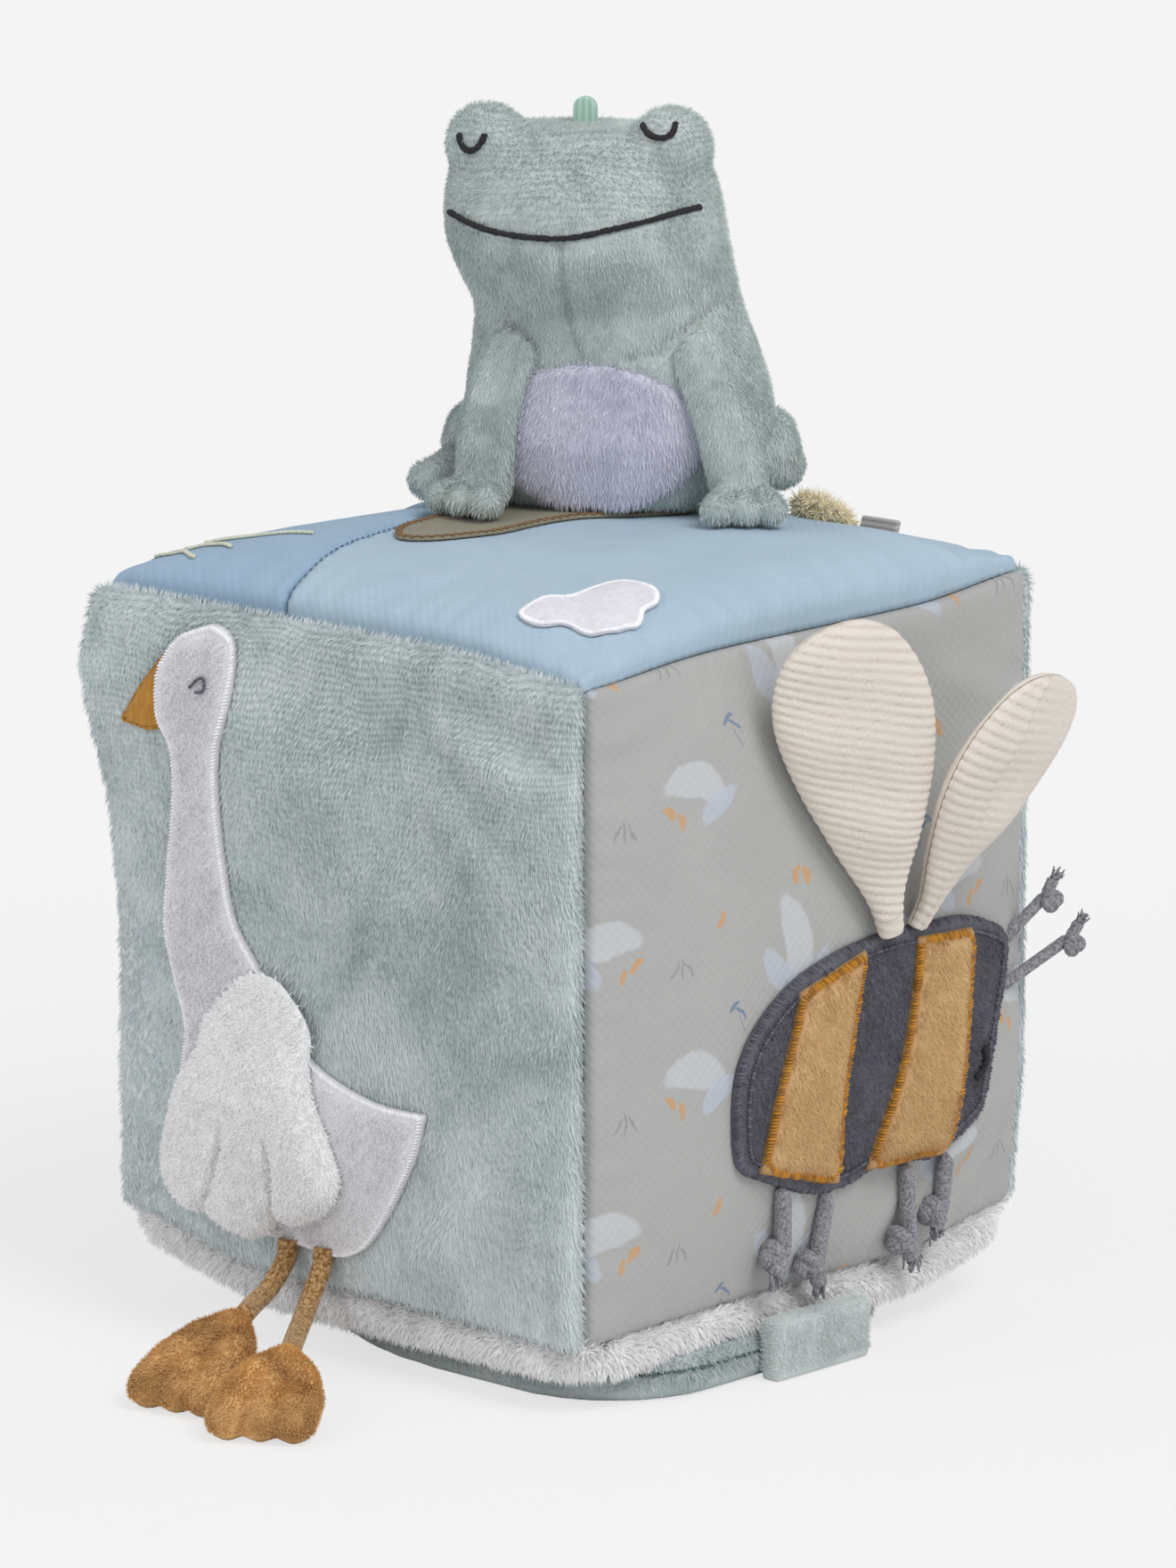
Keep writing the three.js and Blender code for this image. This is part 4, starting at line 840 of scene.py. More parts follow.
# Cotton panels. The weave and the print follow the cloth.
weave = bpy.data.node_groups.new("weave", "ShaderNodeTree")
sockets(weave, "INPUT", "Vector", "Cloth")
sockets(weave, "INPUT", "Float", "Threads")
sockets(weave, "OUTPUT", "Float", "Height", "Slub")
given = add_node(weave, "NodeGroupInput").outputs
split = add_node(weave, "ShaderNodeSeparateXYZ", {0: given[0]})
waves = [maths(weave, "SINE", maths(weave, "MULTIPLY", split.outputs[axis], given[1])) for axis in (0, 1)]
cross = maths(weave, "MULTIPLY", *waves)
stretched = vector_maths(weave, "MULTIPLY", given[0], (4.0, 90.0, 1.0))
slub = add_node(weave, "ShaderNodeTexNoise", {0: stretched, 2: 3.0, 3: 3.0})
add_node(weave, "NodeGroupOutput", {0: cross, 1: slub})


thread_scale = 240.0


def cotton_material(name, light, dark, sheen=0.12):
    """Plain woven cotton, with painted shade along its seams."""
    made, tree, shader, place = new_material(name, 0.86, sheen)
    cloth = add_node(tree, "ShaderNodeUVMap", uv_map="cloth")
    woven = add_node(tree, "ShaderNodeGroup", {0: cloth, 1: thread_scale}, node_tree=weave)
    uneven = uneven_at(tree, place)
    seam = marked(tree, "seam")
    tone = maths(tree, "MULTIPLY_ADD", woven.outputs[1], 0.7, 0.05)
    tone = maths(tree, "MULTIPLY_ADD", uneven.outputs[1], 0.22, tone)
    plain = mixed(tree, tone, light, dark)
    # Painted shade along the seams.
    near = maths(tree, "MULTIPLY", seam, 0.55)
    shaded = mixed(tree, near, plain, dark)
    tree.links.new(shaded, shader.inputs["Base Color"])
    rough_height(tree, shader, woven, 0.00012, 0.5)
    return made, tree, shader, cloth.outputs[0], shaded


def petal_group():
    """A soft-edged oval, the one shape that the print is made of: leaves, buds and petals."""
    group = bpy.data.node_groups.new("printed_petal", "ShaderNodeTree")
    sockets(group, "INPUT", "Vector", "Place", "Centre", "Size")
    sockets(group, "INPUT", "Float", "Turn", "Bend")
    sockets(group, "OUTPUT", "Float", "Mask")
    given = add_node(group, "NodeGroupInput").outputs
    moved = vector_maths(group, "SUBTRACT", given["Place"], given["Centre"])
    turned = add_node(group, "ShaderNodeVectorRotate", {0: moved, 3: given["Turn"]}, rotation_type="Z_AXIS")
    parts = add_node(group, "ShaderNodeSeparateXYZ", {0: turned})
    square = maths(group, "MULTIPLY", parts, parts)
    bent = maths(group, "MULTIPLY_ADD", square, given["Bend"], parts.outputs[1])
    joined = add_node(group, "ShaderNodeCombineXYZ", {0: parts, 1: bent})
    shares = vector_maths(group, "DIVIDE", joined, given["Size"])
    far = vector_maths(group, "LENGTH", shares)
    mask = ranged(group, far.outputs["Value"], 1.0, 0.84)
    add_node(group, "NodeGroupOutput", {0: mask})
    return group


petal = petal_group()
print_white, print_blue, print_ochre, print_grey, print_navy = (
    dyed(*ink) for ink in ((200, 203, 206), (188, 195, 205), (206, 158, 108), (150, 152, 152), (104, 128, 158))
)
# One repeat of the print, in millimetres from its middle: each oval's place, half length, half width,
# turn in degrees, bend and colour. Broad pale leaves on a thin stem, ochre buds in pairs, small tufts
# and a navy sprig.
print_motifs = [
    (-17, 8, 13, 4.6, 78, 0.016, print_white), (-11, 2, 8.5, 3.4, 40, -0.02, print_blue),
    (-22, -1, 8.5, 3.2, 128, 0.02, print_blue), (-16, -9, 7, 0.45, 84, 0.02, print_grey),
    (-19.5, 23, 2.6, 1.2, 65, 0.08, print_ochre), (-16, 23.6, 2.3, 1.1, 105, -0.08, print_ochre),
    (15, -15, 10, 4.4, 12, 0.03, print_white), (9, -21, 6.5, 2.9, -35, 0.02, print_blue),
    (23, -21, 2.4, 1.1, 40, 0.1, print_ochre), (19.5, -23.5, 2.2, 1.0, 75, 0.1, print_ochre),
    (8, 17, 2.4, 1.1, 120, 0.1, print_ochre),
    (18, 8, 2.6, 0.4, 60, 0.05, print_grey), (20, 8.5, 2.8, 0.4, 90, 0, print_grey),
    (22, 8, 2.6, 0.4, 120, 0.05, print_grey), (2, -4, 2.6, 0.5, 35, 0.1, print_navy),
    (4.4, -2.4, 2.2, 0.6, -30, 0.1, print_navy), (1.6, -7, 3.4, 0.25, 60, 0, print_grey),
]
repeat_wide, repeat_high = 56.0, 64.0
cloth_scale = 100.0  # from the cloth's map to millimetres
ink_cover = 0.78
print_wobble = 1.6  # how far the ink's edges stray, in millimetres


def print_material(name, ground_light, ground_dark):
    made, tree, shader, cloth, ground = cotton_material(name, ground_light, ground_dark)
    scaled = scaled_by(tree, cloth, cloth_scale)
    wobble = add_node(tree, "ShaderNodeTexNoise", {0: scaled, 2: 0.35, 3: 1.0})
    wobble = vector_maths(tree, "SUBTRACT", wobble.outputs[1], (0.5, 0.5, 0.5))
    wobble = scaled_by(tree, wobble, print_wobble)
    scaled = vector_maths(tree, "ADD", scaled, wobble)
    parts = add_node(tree, "ShaderNodeSeparateXYZ", {0: scaled})
    column = maths(tree, "DIVIDE", parts, repeat_wide)
    whole = maths(tree, "FLOOR", column)
    odd = maths(tree, "FLOORED_MODULO", whole, 2.0)
    shift = maths(tree, "MULTIPLY_ADD", odd, repeat_high / 2, parts.outputs[1])
    x = maths(tree, "FLOORED_MODULO", parts, repeat_wide)
    y = maths(tree, "FLOORED_MODULO", shift, repeat_high)
    other = maths(tree, "SUBTRACT", repeat_wide, x)
    side = add_node(tree, "ShaderNodeMix", {0: odd, 2: x, 3: other}, data_type="FLOAT")
    cell = add_node(tree, "ShaderNodeCombineXYZ", {0: side, 1: y})
    colour = ground
    for across, up, long, broad, turn, bend, ink in print_motifs:
        centre = (across + repeat_wide / 2, up + repeat_high / 2, 0)
        size = (long, broad, 1)
        leaf = add_node(
            tree, "ShaderNodeGroup", {0: cell, 1: centre, 2: size, 3: -math.radians(turn), 4: bend}, node_tree=petal,
        )
        thin = maths(tree, "MULTIPLY", leaf, ink_cover)
        colour = mixed(tree, thin, colour, ink)
    tree.links.new(colour, shader.inputs["Base Color"])
    return made


printed_cotton = print_material("printed_cotton", dyed(183, 183, 180), dyed(170, 170, 168))
blue_cotton = cotton_material("blue_cotton", dyed(184, 203, 215), dyed(164, 187, 204))[0]
water_cotton = cotton_material("water_cotton", dyed(168, 191, 210), dyed(146, 172, 196))[0]

seam_shares = [
    (-0.25, -1.2), (-0.27, -0.93), (-0.31, -0.75), (-0.38, -0.47), (-0.43, -0.26), (-0.5, 0.14), (-0.55, 1.2),
]
top_half = 72.5 * mm  # half the width that places on the top are shares of
seam_line = through(np.array(seam_shares) * top_half, 14)
pond_gap = 0.25 * mm
cotton_pitch = 1.7 * mm


def pond_seam(q):
    return np.interp(q, seam_line[:, 1], seam_line[:, 0])


for piece_name, face_name, node, cloth, slot, left, right in (
    ("bee_face_cotton", "bee", "bee_panel", printed_cotton, "printed_cotton", None, None),
    ("side_face_cotton", "side", "side_panel", printed_cotton, "printed_cotton", None, None),
    ("sky_cotton", "top", "top_panel", blue_cotton, "blue_cotton", lambda q: pond_seam(q) + pond_gap, None),
    ("pond_cotton", "top", "top_water_panel", water_cotton, "water_cotton", None, lambda q: pond_seam(q) - pond_gap),
):
    panel, *_ = sew_panel(piece_name, face_name, cotton_pitch, left, right)
    dress(panel, cloth, slot, node, fill=panel_fill)

# The bottom panel's long white fur shows as a thick band all round, under the four faces.
fur_pitch = 3.0 * mm
fur_edge = 6 * mm  # how far in from its seams the bottom has fur
fur_yarn = plush_material("white_fur", dyed(255, 255, 255), dyed(246, 243, 243), 90.0, 0.3, 0.3, 0.6)
panel, p, q, out = sew_panel("bottom_fur_cloth", "bottom", fur_pitch)
from_edge = cloth_reach(X) - np.maximum(np.abs(p), np.abs(q))
outward = np.stack([p, -q, 0 * p], -1)
outward = unit(outward * (np.abs(outward) > 0.8 * np.max(np.abs(outward), -1, keepdims=True)))
comb = comb_over(out, outward * 1.1 + [0, 0, 0.25])
set_attribute(panel, "comb", np.tile(comb.reshape(-1, 3), (2, 1)), "FLOAT_VECTOR")
set_attribute(panel, "pile", np.concatenate([(from_edge < fur_edge).ravel(), np.zeros(p.size)]))
dress(panel, fur_yarn, "white_fur", "bottom_panel", fill=panel_fill)
grow(
    panel, pile, "bottom_fur", "white_fur", density=4.2e6, length=2.6 * mm, width=0.56 * mm, swirl=2.6,
    swirl_scale=190.0, stray=0.5, uneven=0.4, seed=17, yarn=fur_yarn,
)


def round_oblong(half_wide, half_deep, radii, middle, up):
    """A level outline with four round corners and the directions out of it, its lengths in millimetres."""
    line, out = [], []
    for (sx, sy), radius, start in zip(((1, -1), (1, 1), (-1, 1), (-1, -1)), radii, (-90, 0, 90, 180)):
        for turn in np.radians(np.linspace(start, start + 90, 22)):
            way = np.array([math.cos(turn), math.sin(turn), 0])
            line.append(np.array([middle + sx * (half_wide - radius), sy * (half_deep - radius), up]) + radius * way)
            out.append(way)
    return np.array(line) * mm, np.array(out)


roll_half, roll_corner, roll_thick, roll_up, roll_sides = 70.5, 12, 4.4, 12.2, 14
line, out = round_oblong(roll_half, roll_half, [roll_corner] * 4, 0, roll_up)
both = evenly(np.hstack([line, out]), 1.6 * mm, closed=True)
line, out = both[:, :3], unit(both[:, 3:])
points, faces = [], []
for k, turn in enumerate(np.linspace(0, 2 * math.pi, roll_sides, endpoint=False)):
    points.append(line + (out * math.cos(turn) + Z * math.sin(turn)) * roll_thick * mm)
    for i in range(len(line)):
        j, m = (i + 1) % len(line), (k + 1) % roll_sides
        faces.append((k * len(line) + i, k * len(line) + j, m * len(line) + j, m * len(line) + i))
points = pushed(np.vstack(points))
fur_roll = smooth(new_mesh("bottom_fur_roll", points, faces))
dress(fur_roll, fur_yarn, "white_fur")
out = unit(points - pushed(np.tile(line, (roll_sides, 1))))
set_attribute(fur_roll, "comb", comb_over(out, [0, 0, -0.9]), "FLOAT_VECTOR")
outside = np.sum(out * np.tile(unit(line - [0, 0, roll_up * mm]), (roll_sides, 1)), 1)
set_attribute(fur_roll, "pile", (out[:, 2] > -0.8) & (outside > -0.3))
grow(
    fur_roll, pile, "bottom_fur_roll_pile", "white_fur", density=6.5e6, length=2.1 * mm, width=0.42 * mm, swirl=2.6,
    swirl_scale=190.0, stray=0.45, uneven=0.4, seed=18, yarn=fur_yarn,
)


# The foam block inside: cut a little under the size of the cloth cube, with round edges. It never
# shows, and holds the panels out.
foam, tree, shader, place = new_material("foam", 0.95)
cells = add_node(tree, "ShaderNodeTexVoronoi", {"Vector": place, "Scale": 900.0})
tree.links.new(mixed(tree, cells, dyed(214, 206, 188), dyed(238, 232, 218)), shader.inputs["Base Color"])
rough_height(tree, shader, cells, 0.0004)
foam_share = 0.958
foam_steps = 28
points, quads = [], []
for face in faces_of_cube.values():
    wide, tall = cloth_reach(face["across"]), cloth_reach(face["up"])
    step = np.linspace(-1, 1, foam_steps)
    at = bare_skin(face, *np.meshgrid(step * wide, step * tall)).reshape(-1, 3) - [0, 0, cube_middle]
    index = np.arange(foam_steps**2).reshape(foam_steps, foam_steps) + len(points) * foam_steps**2
    points.append(at * foam_share + [0, 0, cube_middle])
    quads.append(np.stack([index[:-1, :-1], index[:-1, 1:], index[1:, 1:], index[1:, :-1]], -1).reshape(-1, 4))
block = new_mesh("foam_block", np.vstack(points), np.vstack(quads))
joined = bmesh.new()
joined.from_mesh(block.data)
bmesh.ops.remove_doubles(joined, verts=joined.verts, dist=0.6 * mm)
joined.to_mesh(block.data)
joined.free()
dress(smooth(block), foam, "foam", "foam_core", fill=1.0)


# Stitched threads: satin borders, outlines and small embroidered marks. Each thread is one short
# bead that lies across or along its line.
def stitch_tree():
    tree = bpy.data.node_groups.new("stitches", "GeometryNodeTree")
    tree.is_modifier = True
    sockets(tree, "INPUT", "Geometry", "Line")
    sockets(tree, "INPUT", "Float", "Along", "Across", "High", "Uneven")
    sockets(tree, "INPUT", "Int", "Seed")
    sockets(tree, "INPUT", "Material", "Thread")
    sockets(tree, "OUTPUT", "Geometry", "Stitches")
    given = add_node(tree, "NodeGroupInput").outputs
    out = add_node(tree, "GeometryNodeInputNamedAttribute", {0: "out"}, data_type="FLOAT_VECTOR")
    along = add_node(tree, "GeometryNodeInputNamedAttribute", {0: "along"}, data_type="FLOAT_VECTOR")
    turn = add_node(tree, "FunctionNodeAxesToRotation", {0: out, 1: along}, primary_axis="Z", secondary_axis="X")
    bead = add_node(tree, "GeometryNodeMeshUVSphere", {0: 6, 1: 4, 2: 0.5})
    size = add_node(tree, "ShaderNodeCombineXYZ", {0: given["Along"], 1: given["Across"], 2: given["High"]})
    scale = scaled_by(tree, size, varied(tree, given["Uneven"], given["Seed"]))
    placed = add_node(
        tree, "GeometryNodeInstanceOnPoints", {0: given["Line"], 2: bead, 5: turn, 6: scale},
    )
    end_scatter(tree, placed, given["Thread"])
    return tree


stitches = stitch_tree()


def sew(
    name, line, out, thread, slot, along=0.62, across=2.6, high=1.1, pitch=0.42, slant=12, seed=1, uneven=0.06,
    closed=False,
):
    """Threads along a line, their sizes in millimetres. The line lies on what carries it, and out is
    the direction straight out of that at each point."""
    both = evenly(np.hstack([line, out]), pitch * mm, closed)
    at, out = both[:, :3], unit(both[:, 3:])
    way = unit(np.roll(at, -1, 0) - np.roll(at, 1, 0) if closed else np.gradient(at, axis=0))
    draw = np.random.RandomState(seed)
    lean = np.radians(slant + draw.uniform(-5, 5, len(at)))[:, None]
    way = unit(way * np.cos(lean) + np.cross(out, way) * np.sin(lean))
    holder = new_mesh(name + "_line", at, [])
    set_attribute(holder, "out", out, "FLOAT_VECTOR")
    set_attribute(holder, "along", way, "FLOAT_VECTOR")
    made = grow(
        holder, stitches, name, slot, along=along * mm, across=across * mm, high=high * mm, uneven=uneven, seed=seed,
        thread=thread,
    )
    bpy.data.objects.remove(holder)
    return smooth(made)


def thread_material(name, light, dark, roughness=0.45):
    """Glossy embroidery thread. Neighbouring threads differ a little."""
    made, tree, shader, place = new_material(name, roughness, 0.1)
    shader.inputs["Specular IOR Level"].default_value = 0.5
    shade = marked(tree, "shade")
    uneven = uneven_at(tree, place)
    tone = maths(tree, "MULTIPLY_ADD", shade, 0.7, 0.15)
    tree.links.new(mixed(tree, tone, dark, light), shader.inputs["Base Color"])
    rough_height(tree, shader, uneven, 0.0001, 0.4)
    return made


white_thread = thread_material("white_thread", dyed(255, 255, 255), dyed(238, 236, 242))
ochre_thread = thread_material("ochre_thread", dyed(214, 150, 30), dyed(140, 90, 14))
grey_thread = thread_material("violet_grey_thread", dyed(110, 108, 124), dyed(40, 39, 50))
black_thread = thread_material("black_thread", dyed(30, 30, 34), dyed(14, 14, 18), 0.7)
blue_thread = thread_material("blue_thread", dyed(92, 122, 150), dyed(70, 98, 126))
green_thread = thread_material("dark_green_thread", dyed(78, 106, 98), dyed(56, 82, 76))
brown_thread = thread_material("brown_thread", dyed(142, 106, 62), dyed(112, 82, 46))
cream_thread = thread_material("cream_thread", dyed(226, 228, 208), dyed(202, 206, 182))


ring_steps = (0.35, 0.8, 1.4)  # rings of points close to a cloth's edge, in millimetres


def area_of(rim):
    return 0.5 * np.sum(rim[:, 0] * np.roll(rim[:, 1], -1) - np.roll(rim[:, 0], -1) * rim[:, 1])


def inward_of(rim):
    """The directions straight into a closed outline."""
    way = unit(np.roll(rim, -1, 0) - np.roll(rim, 1, 0)) * np.sign(area_of(rim))
    return np.stack([-way[:, 1], way[:, 0]], 1)


def lay_cloth(name, face_name, rim, base, thick, round_over=1.2, puff=0.0, pitch=1.7, share=None):
    """A cut of cloth that lies on a face, its lengths in millimetres: how far its underside is off the
    face's cloth, its thickness, how round its edge is, and how much its middle stands up. Share gives
    how much of that height each place has."""
    rim = evenly(rim, 1.1 * mm, closed=True) / mm
    if area_of(rim) < 0:
        rim = rim[::-1]
    rings = [rim + inward_of(rim) * step for step in ring_steps]
    low, high = rim.min(0), rim.max(0)
    grid = np.meshgrid(np.arange(low[0], high[0], pitch), np.arange(low[1], high[1], pitch))
    grid = np.stack(grid, -1).reshape(-1, 2)
    grid[:, 0] += (np.round((grid[:, 1] - low[1]) / pitch) % 2) * pitch / 2
    kept = []
    for step, ring in zip((*ring_steps, 2.1), (*rings, grid)):
        inside, gap = inside_of(rim, *ring.T)
        kept.append(ring[inside & (gap > 0.93 * step)])
    flat = np.vstack([rim, *kept])
    edges = [(k, (k + 1) % len(rim)) for k in range(len(rim))]
    corners, _, triangles, *_ = delaunay_2d_cdt([Vector(v) for v in flat], edges, [], 1, 1e-5)
    flat = np.array([tuple(v) for v in corners])
    _, gap = inside_of(rim, *flat.T)
    on_rim = gap < 0.02
    height = thick * np.sqrt(np.clip(1 - (1 - np.clip(gap / round_over, 0, 1)) ** 2, 0, 1))
    height = height + puff * (1 - np.exp(-gap / 5))
    if share:
        height = height * share(flat)
    p, q = flat[:, 0] * mm, flat[:, 1] * mm
    above, out = on_cloth(face_name, p, q, (base + height) * mm)
    below, _ = on_cloth(face_name, p, q, base * mm)
    under = np.arange(len(flat)) + len(flat)
    under[on_rim] = np.nonzero(on_rim)[0]
    faces = []
    for a, b, c in triangles:
        (ux, uy), (vx, vy) = flat[b] - flat[a], flat[c] - flat[a]
        if ux * vy - vx * uy < 0:
            b, c = c, b
        faces.append((a, b, c))
        if not (on_rim[a] and on_rim[b] and on_rim[c]):
            faces.append((under[a], under[c], under[b]))
    used = np.unique(np.array(faces))
    renumber = np.zeros(2 * len(flat), int)
    renumber[used] = np.arange(len(used))
    points = np.vstack([above, below])[used]
    made = smooth(new_mesh(name, points, renumber[np.array(faces)]))
    set_attribute(made, "gap", np.tile(gap, 2)[used])
    map_cloth(made, np.vstack([flat, flat])[used] * mm)
    is_top = used < len(flat)
    return made, np.vstack([out, out])[used], np.tile(gap, 2)[used], np.vstack([flat, flat])[used], is_top


def inset(rim, by):
    """A closed outline drawn in by so many millimetres."""
    inner = rim + inward_of(rim) * by * mm
    _, gap = inside_of(rim, *inner.T)
    return inner[gap > 0.93 * by * mm]


def sew_round(name, face_name, rim, lift, thread, slot, **how):
    """Threads all round an outline on a face."""
    line, out = on_cloth(face_name, rim[:, 0], rim[:, 1], lift * mm)
    return sew(name, line, out, thread, slot, closed=True, **how)


# The goose: white plush, flat and short on the head and neck and curlier on the body, sewn down all
# round with a white satin border. Its beak is filled with ochre thread.
# Painted light: one lighter spot low on the goose's body.
white_plush = plush_material(
    "white_plush", dyed(242, 241, 243), dyed(214, 213, 218), 60.0, 0.25, 0.25, 0.4,
    painted_light_spots=(((0.0, -0.08, 0.04), 0.05, 0.3),),
)
goose_lift, goose_thick = 0.3, 1.6
body, out, gap, flat, is_top = lay_cloth("goose_body_plush", "goose", goose_rim, goose_lift, goose_thick, 1.4, 0.5)
dress(body, white_plush, "white_plush", "goose_body")
fluff_up(
    body, "goose_body_pile", white_plush, "white_plush", (0.2, 0, -0.5), is_top & (gap > 1.6), out, density=6.0e6,
    length=0.8 * mm, width=0.3 * mm, swirl=1.6, swirl_scale=160.0, stray=0.4, uneven=0.4, seed=21,
)
sew_round(
    "goose_border", "goose", inset(goose_rim, 0.7), goose_lift + 1.4, white_thread, "white_thread", along=0.72,
    across=1.7, high=1.2, pitch=0.8, slant=34, seed=22, uneven=0.14,
)

beak_long, beak_high = 9.5, 14
beak_across = goose_across - goose_wide * 0.47
beak_up = goose_up + 0.4 * goose_tall
beak_rim = np.array([
    (beak_across + 1.8, beak_up + beak_high / 2 + 0.8), (beak_across - beak_long * 0.42, beak_up + 0.4),
    (beak_across - beak_long, beak_up - 0.55 * beak_high),
    (beak_across - beak_long * 0.3, beak_up - 0.62 * beak_high),
    (beak_across + 1.8, beak_up - beak_high / 2 - 0.6), (beak_across + 0.8, beak_up),
]) * mm
ochre_satin, tree, shader, place = new_material("beak_thread", 0.55, 0.2)
combed = vector_maths(tree, "MULTIPLY", place, (900.0, 900.0, 260.0))
fibres = add_node(tree, "ShaderNodeTexNoise", {0: combed, 2: 1.0, 3: 3.0})
tree.links.new(mixed(tree, fibres, dyed(146, 98, 22), dyed(208, 150, 56)), shader.inputs["Base Color"])
rough_height(tree, shader, fibres, 0.0006, 0.9)
beak, *_ = lay_cloth("goose_beak_thread", "goose", beak_rim, 0.3, 1.5, 1.0, 0.3, 1.0)
dress(beak, ochre_satin, "ochre_thread", "goose_beak")
sew_round(
    "beak_border", "goose", beak_rim, 0.9, ochre_thread, "ochre_thread", along=0.55, across=1.3, high=1.1, seed=24,
)


def pixel_ray(x, y):
    """The line of sight through a place in the picture."""
    reach = picture_high * camera_lens / sensor_long
    way = look + look_right * ((x - picture_wide / 2) / reach) - look_up * ((y - picture_high / 2) / reach)
    return way.normalized()


def seen_on(piece, places, lift=0.0):
    """Where places of the picture fall on a piece, and the directions straight out of it there."""
    mesh = piece.data
    tree = BVHTree.FromPolygons([v.co for v in mesh.vertices], [p.vertices[:] for p in mesh.polygons])
    found = []
    for x, y in places:
        hit, out, _, _ = tree.ray_cast(camera_place, pixel_ray(x, y))
        if hit is not None:
            found.append((*(hit + out * lift * mm), *out))
    return np.array(found)


def sew_seen(name, piece, places, lift, thread, slot, **how):
    """Threads along a line of the picture, on the piece that it falls on."""
    found = seen_on(piece, places, lift)
    sew(name, found[:, :3], found[:, 3:], thread, slot, **how)
    return found[:, :3]


goose_eye = [(216, 771), (222, 765), (229, 761), (232, 766), (232, 773), (229, 777), (223, 777)]
sew_seen(
    "goose_eye", body, through(goose_eye, 5), 0.9, grey_thread, "white_thread", along=0.9, across=0.75, high=0.7,
    pitch=0.45, slant=20, seed=25,
)


# The goose's wing: three stuffed feathers of curly white terry, sewn together. It hangs from a seam
# across its top and lifts as a flap.
def stuffed_copy(name, from_nodes, voxel, rounds, swell=0.0):
    """One soft skin round copies of CAD solids, its lengths in millimetres."""
    points, faces, start = [], [], 0
    for node in from_nodes:
        mesh = nodes[node].data
        co = np.zeros(len(mesh.vertices) * 3)
        mesh.vertices.foreach_get("co", co)
        points.append(co.reshape(-1, 3))
        faces += [[start + v for v in p.vertices] for p in mesh.polygons]
        start += len(mesh.vertices)
    points = np.vstack(points)
    whole = np.round(points / (0.002 * mm)).astype(np.int64)
    _, first, back = np.unique(whole, axis=0, return_index=True, return_inverse=True)
    back = back.ravel()
    faces = [f for f in ([back[v] for v in f] for f in faces) if len(set(f)) == len(f)]
    form = new_mesh(name, points[first], faces)
    remesh = form.modifiers.new("skin", "REMESH")
    remesh.mode = "VOXEL"
    remesh.voxel_size = voxel * mm
    soften = form.modifiers.new("soften", "SMOOTH")
    soften.factor = 0.5
    soften.iterations = rounds
    if swell:
        fill = form.modifiers.new("fill", "DISPLACE")
        fill.strength = swell * mm
        fill.mid_level = 0.0
    bpy.context.view_layer.update()
    mesh = bpy.data.meshes.new_from_object(form.evaluated_get(bpy.context.evaluated_depsgraph_get()))
    form.modifiers.clear()
    form.data = mesh
    mesh.name = name
    for corner in mesh.vertices:
        corner.co.z = max(corner.co.z, 0)
    return smooth(form)


terry_yarn = plush_material("white_terry", dyed(255, 255, 255), dyed(243, 243, 243), 120.0, 0.2, 0.2, 0.5)
feather_rim = [
    (-34.1, -15.2), (-36.1, -21.2), (-41.1, -29.2), (-44.1, -37.2), (-45.9, -43.3), (-47.7, -50.1), (-47.2, -54.8),
    (-43.3, -59.2), (-38.1, -60.8), (-34.4, -60), (-32.7, -58.6), (-31, -60), (-25.4, -61.6), (-19.8, -62),
    (-14.9, -60.2), (-12.4, -57.2), (-11.2, -55.1), (-9.3, -56.2), (-3.7, -56), (3.5, -52.3), (7.1, -48), (8, -43.8),
    (6.1, -38.3), (3.7, -32.5), (1, -26.6), (0, -19.3), (0.3, -14.6), (-1.6, -10.6), (-6.3, -6.1), (-11.7, -2.6),
    (-19.6, -2.6), (-26.9, -7.2),
]
feather_slits = [
    [(-23.2, -33.6), (-25.6, -44.3), (-28.8, -52), (-32.7, -61)],
    [(-9.7, -32.9), (-8.5, -43.4), (-9.6, -50), (-11.2, -58)],
]
feather_slit_wide, feather_slit_deep = 0.85, 0.5
feather_thick, feather_thin, feather_puff = 4.4, 0.7, 1.0
feather_off = goose_lift + goose_thick + 0.75


def feather_lie(flat):
    """How much of its full thickness the wing has: thin at its top, and drawn in along its two seams."""
    share = feather_thin / feather_thick + (1 - feather_thin / feather_thick) * np.clip((-8 - flat[:, 1]) / 22, 0, 1)
    for slit in feather_slits:
        line = evenly(through(slit, 8), 0.5)
        off = np.min(np.linalg.norm(flat[:, None] - line[None], axis=2), 1)
        reach = np.clip((-34 - flat[:, 1]) / 8, 0, 1)
        share = share * (1 - feather_slit_deep * reach * np.exp(-((off / feather_slit_wide) ** 2)))
    return share


wing, out, gap, flat, is_top = lay_cloth(
    "goose_wing_feathers", "goose", through(np.array(feather_rim) * mm, 4, closed=True), feather_off, feather_thick,
    4.0, feather_puff, 1.3, share=feather_lie,
)
dress(wing, terry_yarn, "white_terry", "goose_wing", body="goose_wing", fill=0.6)
fluff_up(
    wing, "goose_wing_terry", terry_yarn, "white_terry", (0, 0, -0.4), is_top & (gap > 0.15), body="goose_wing",
    density=5.0e6, length=1.15 * mm, width=0.42 * mm, swirl=2.4, swirl_scale=300.0, stray=0.8, uneven=0.35, seed=31,
)

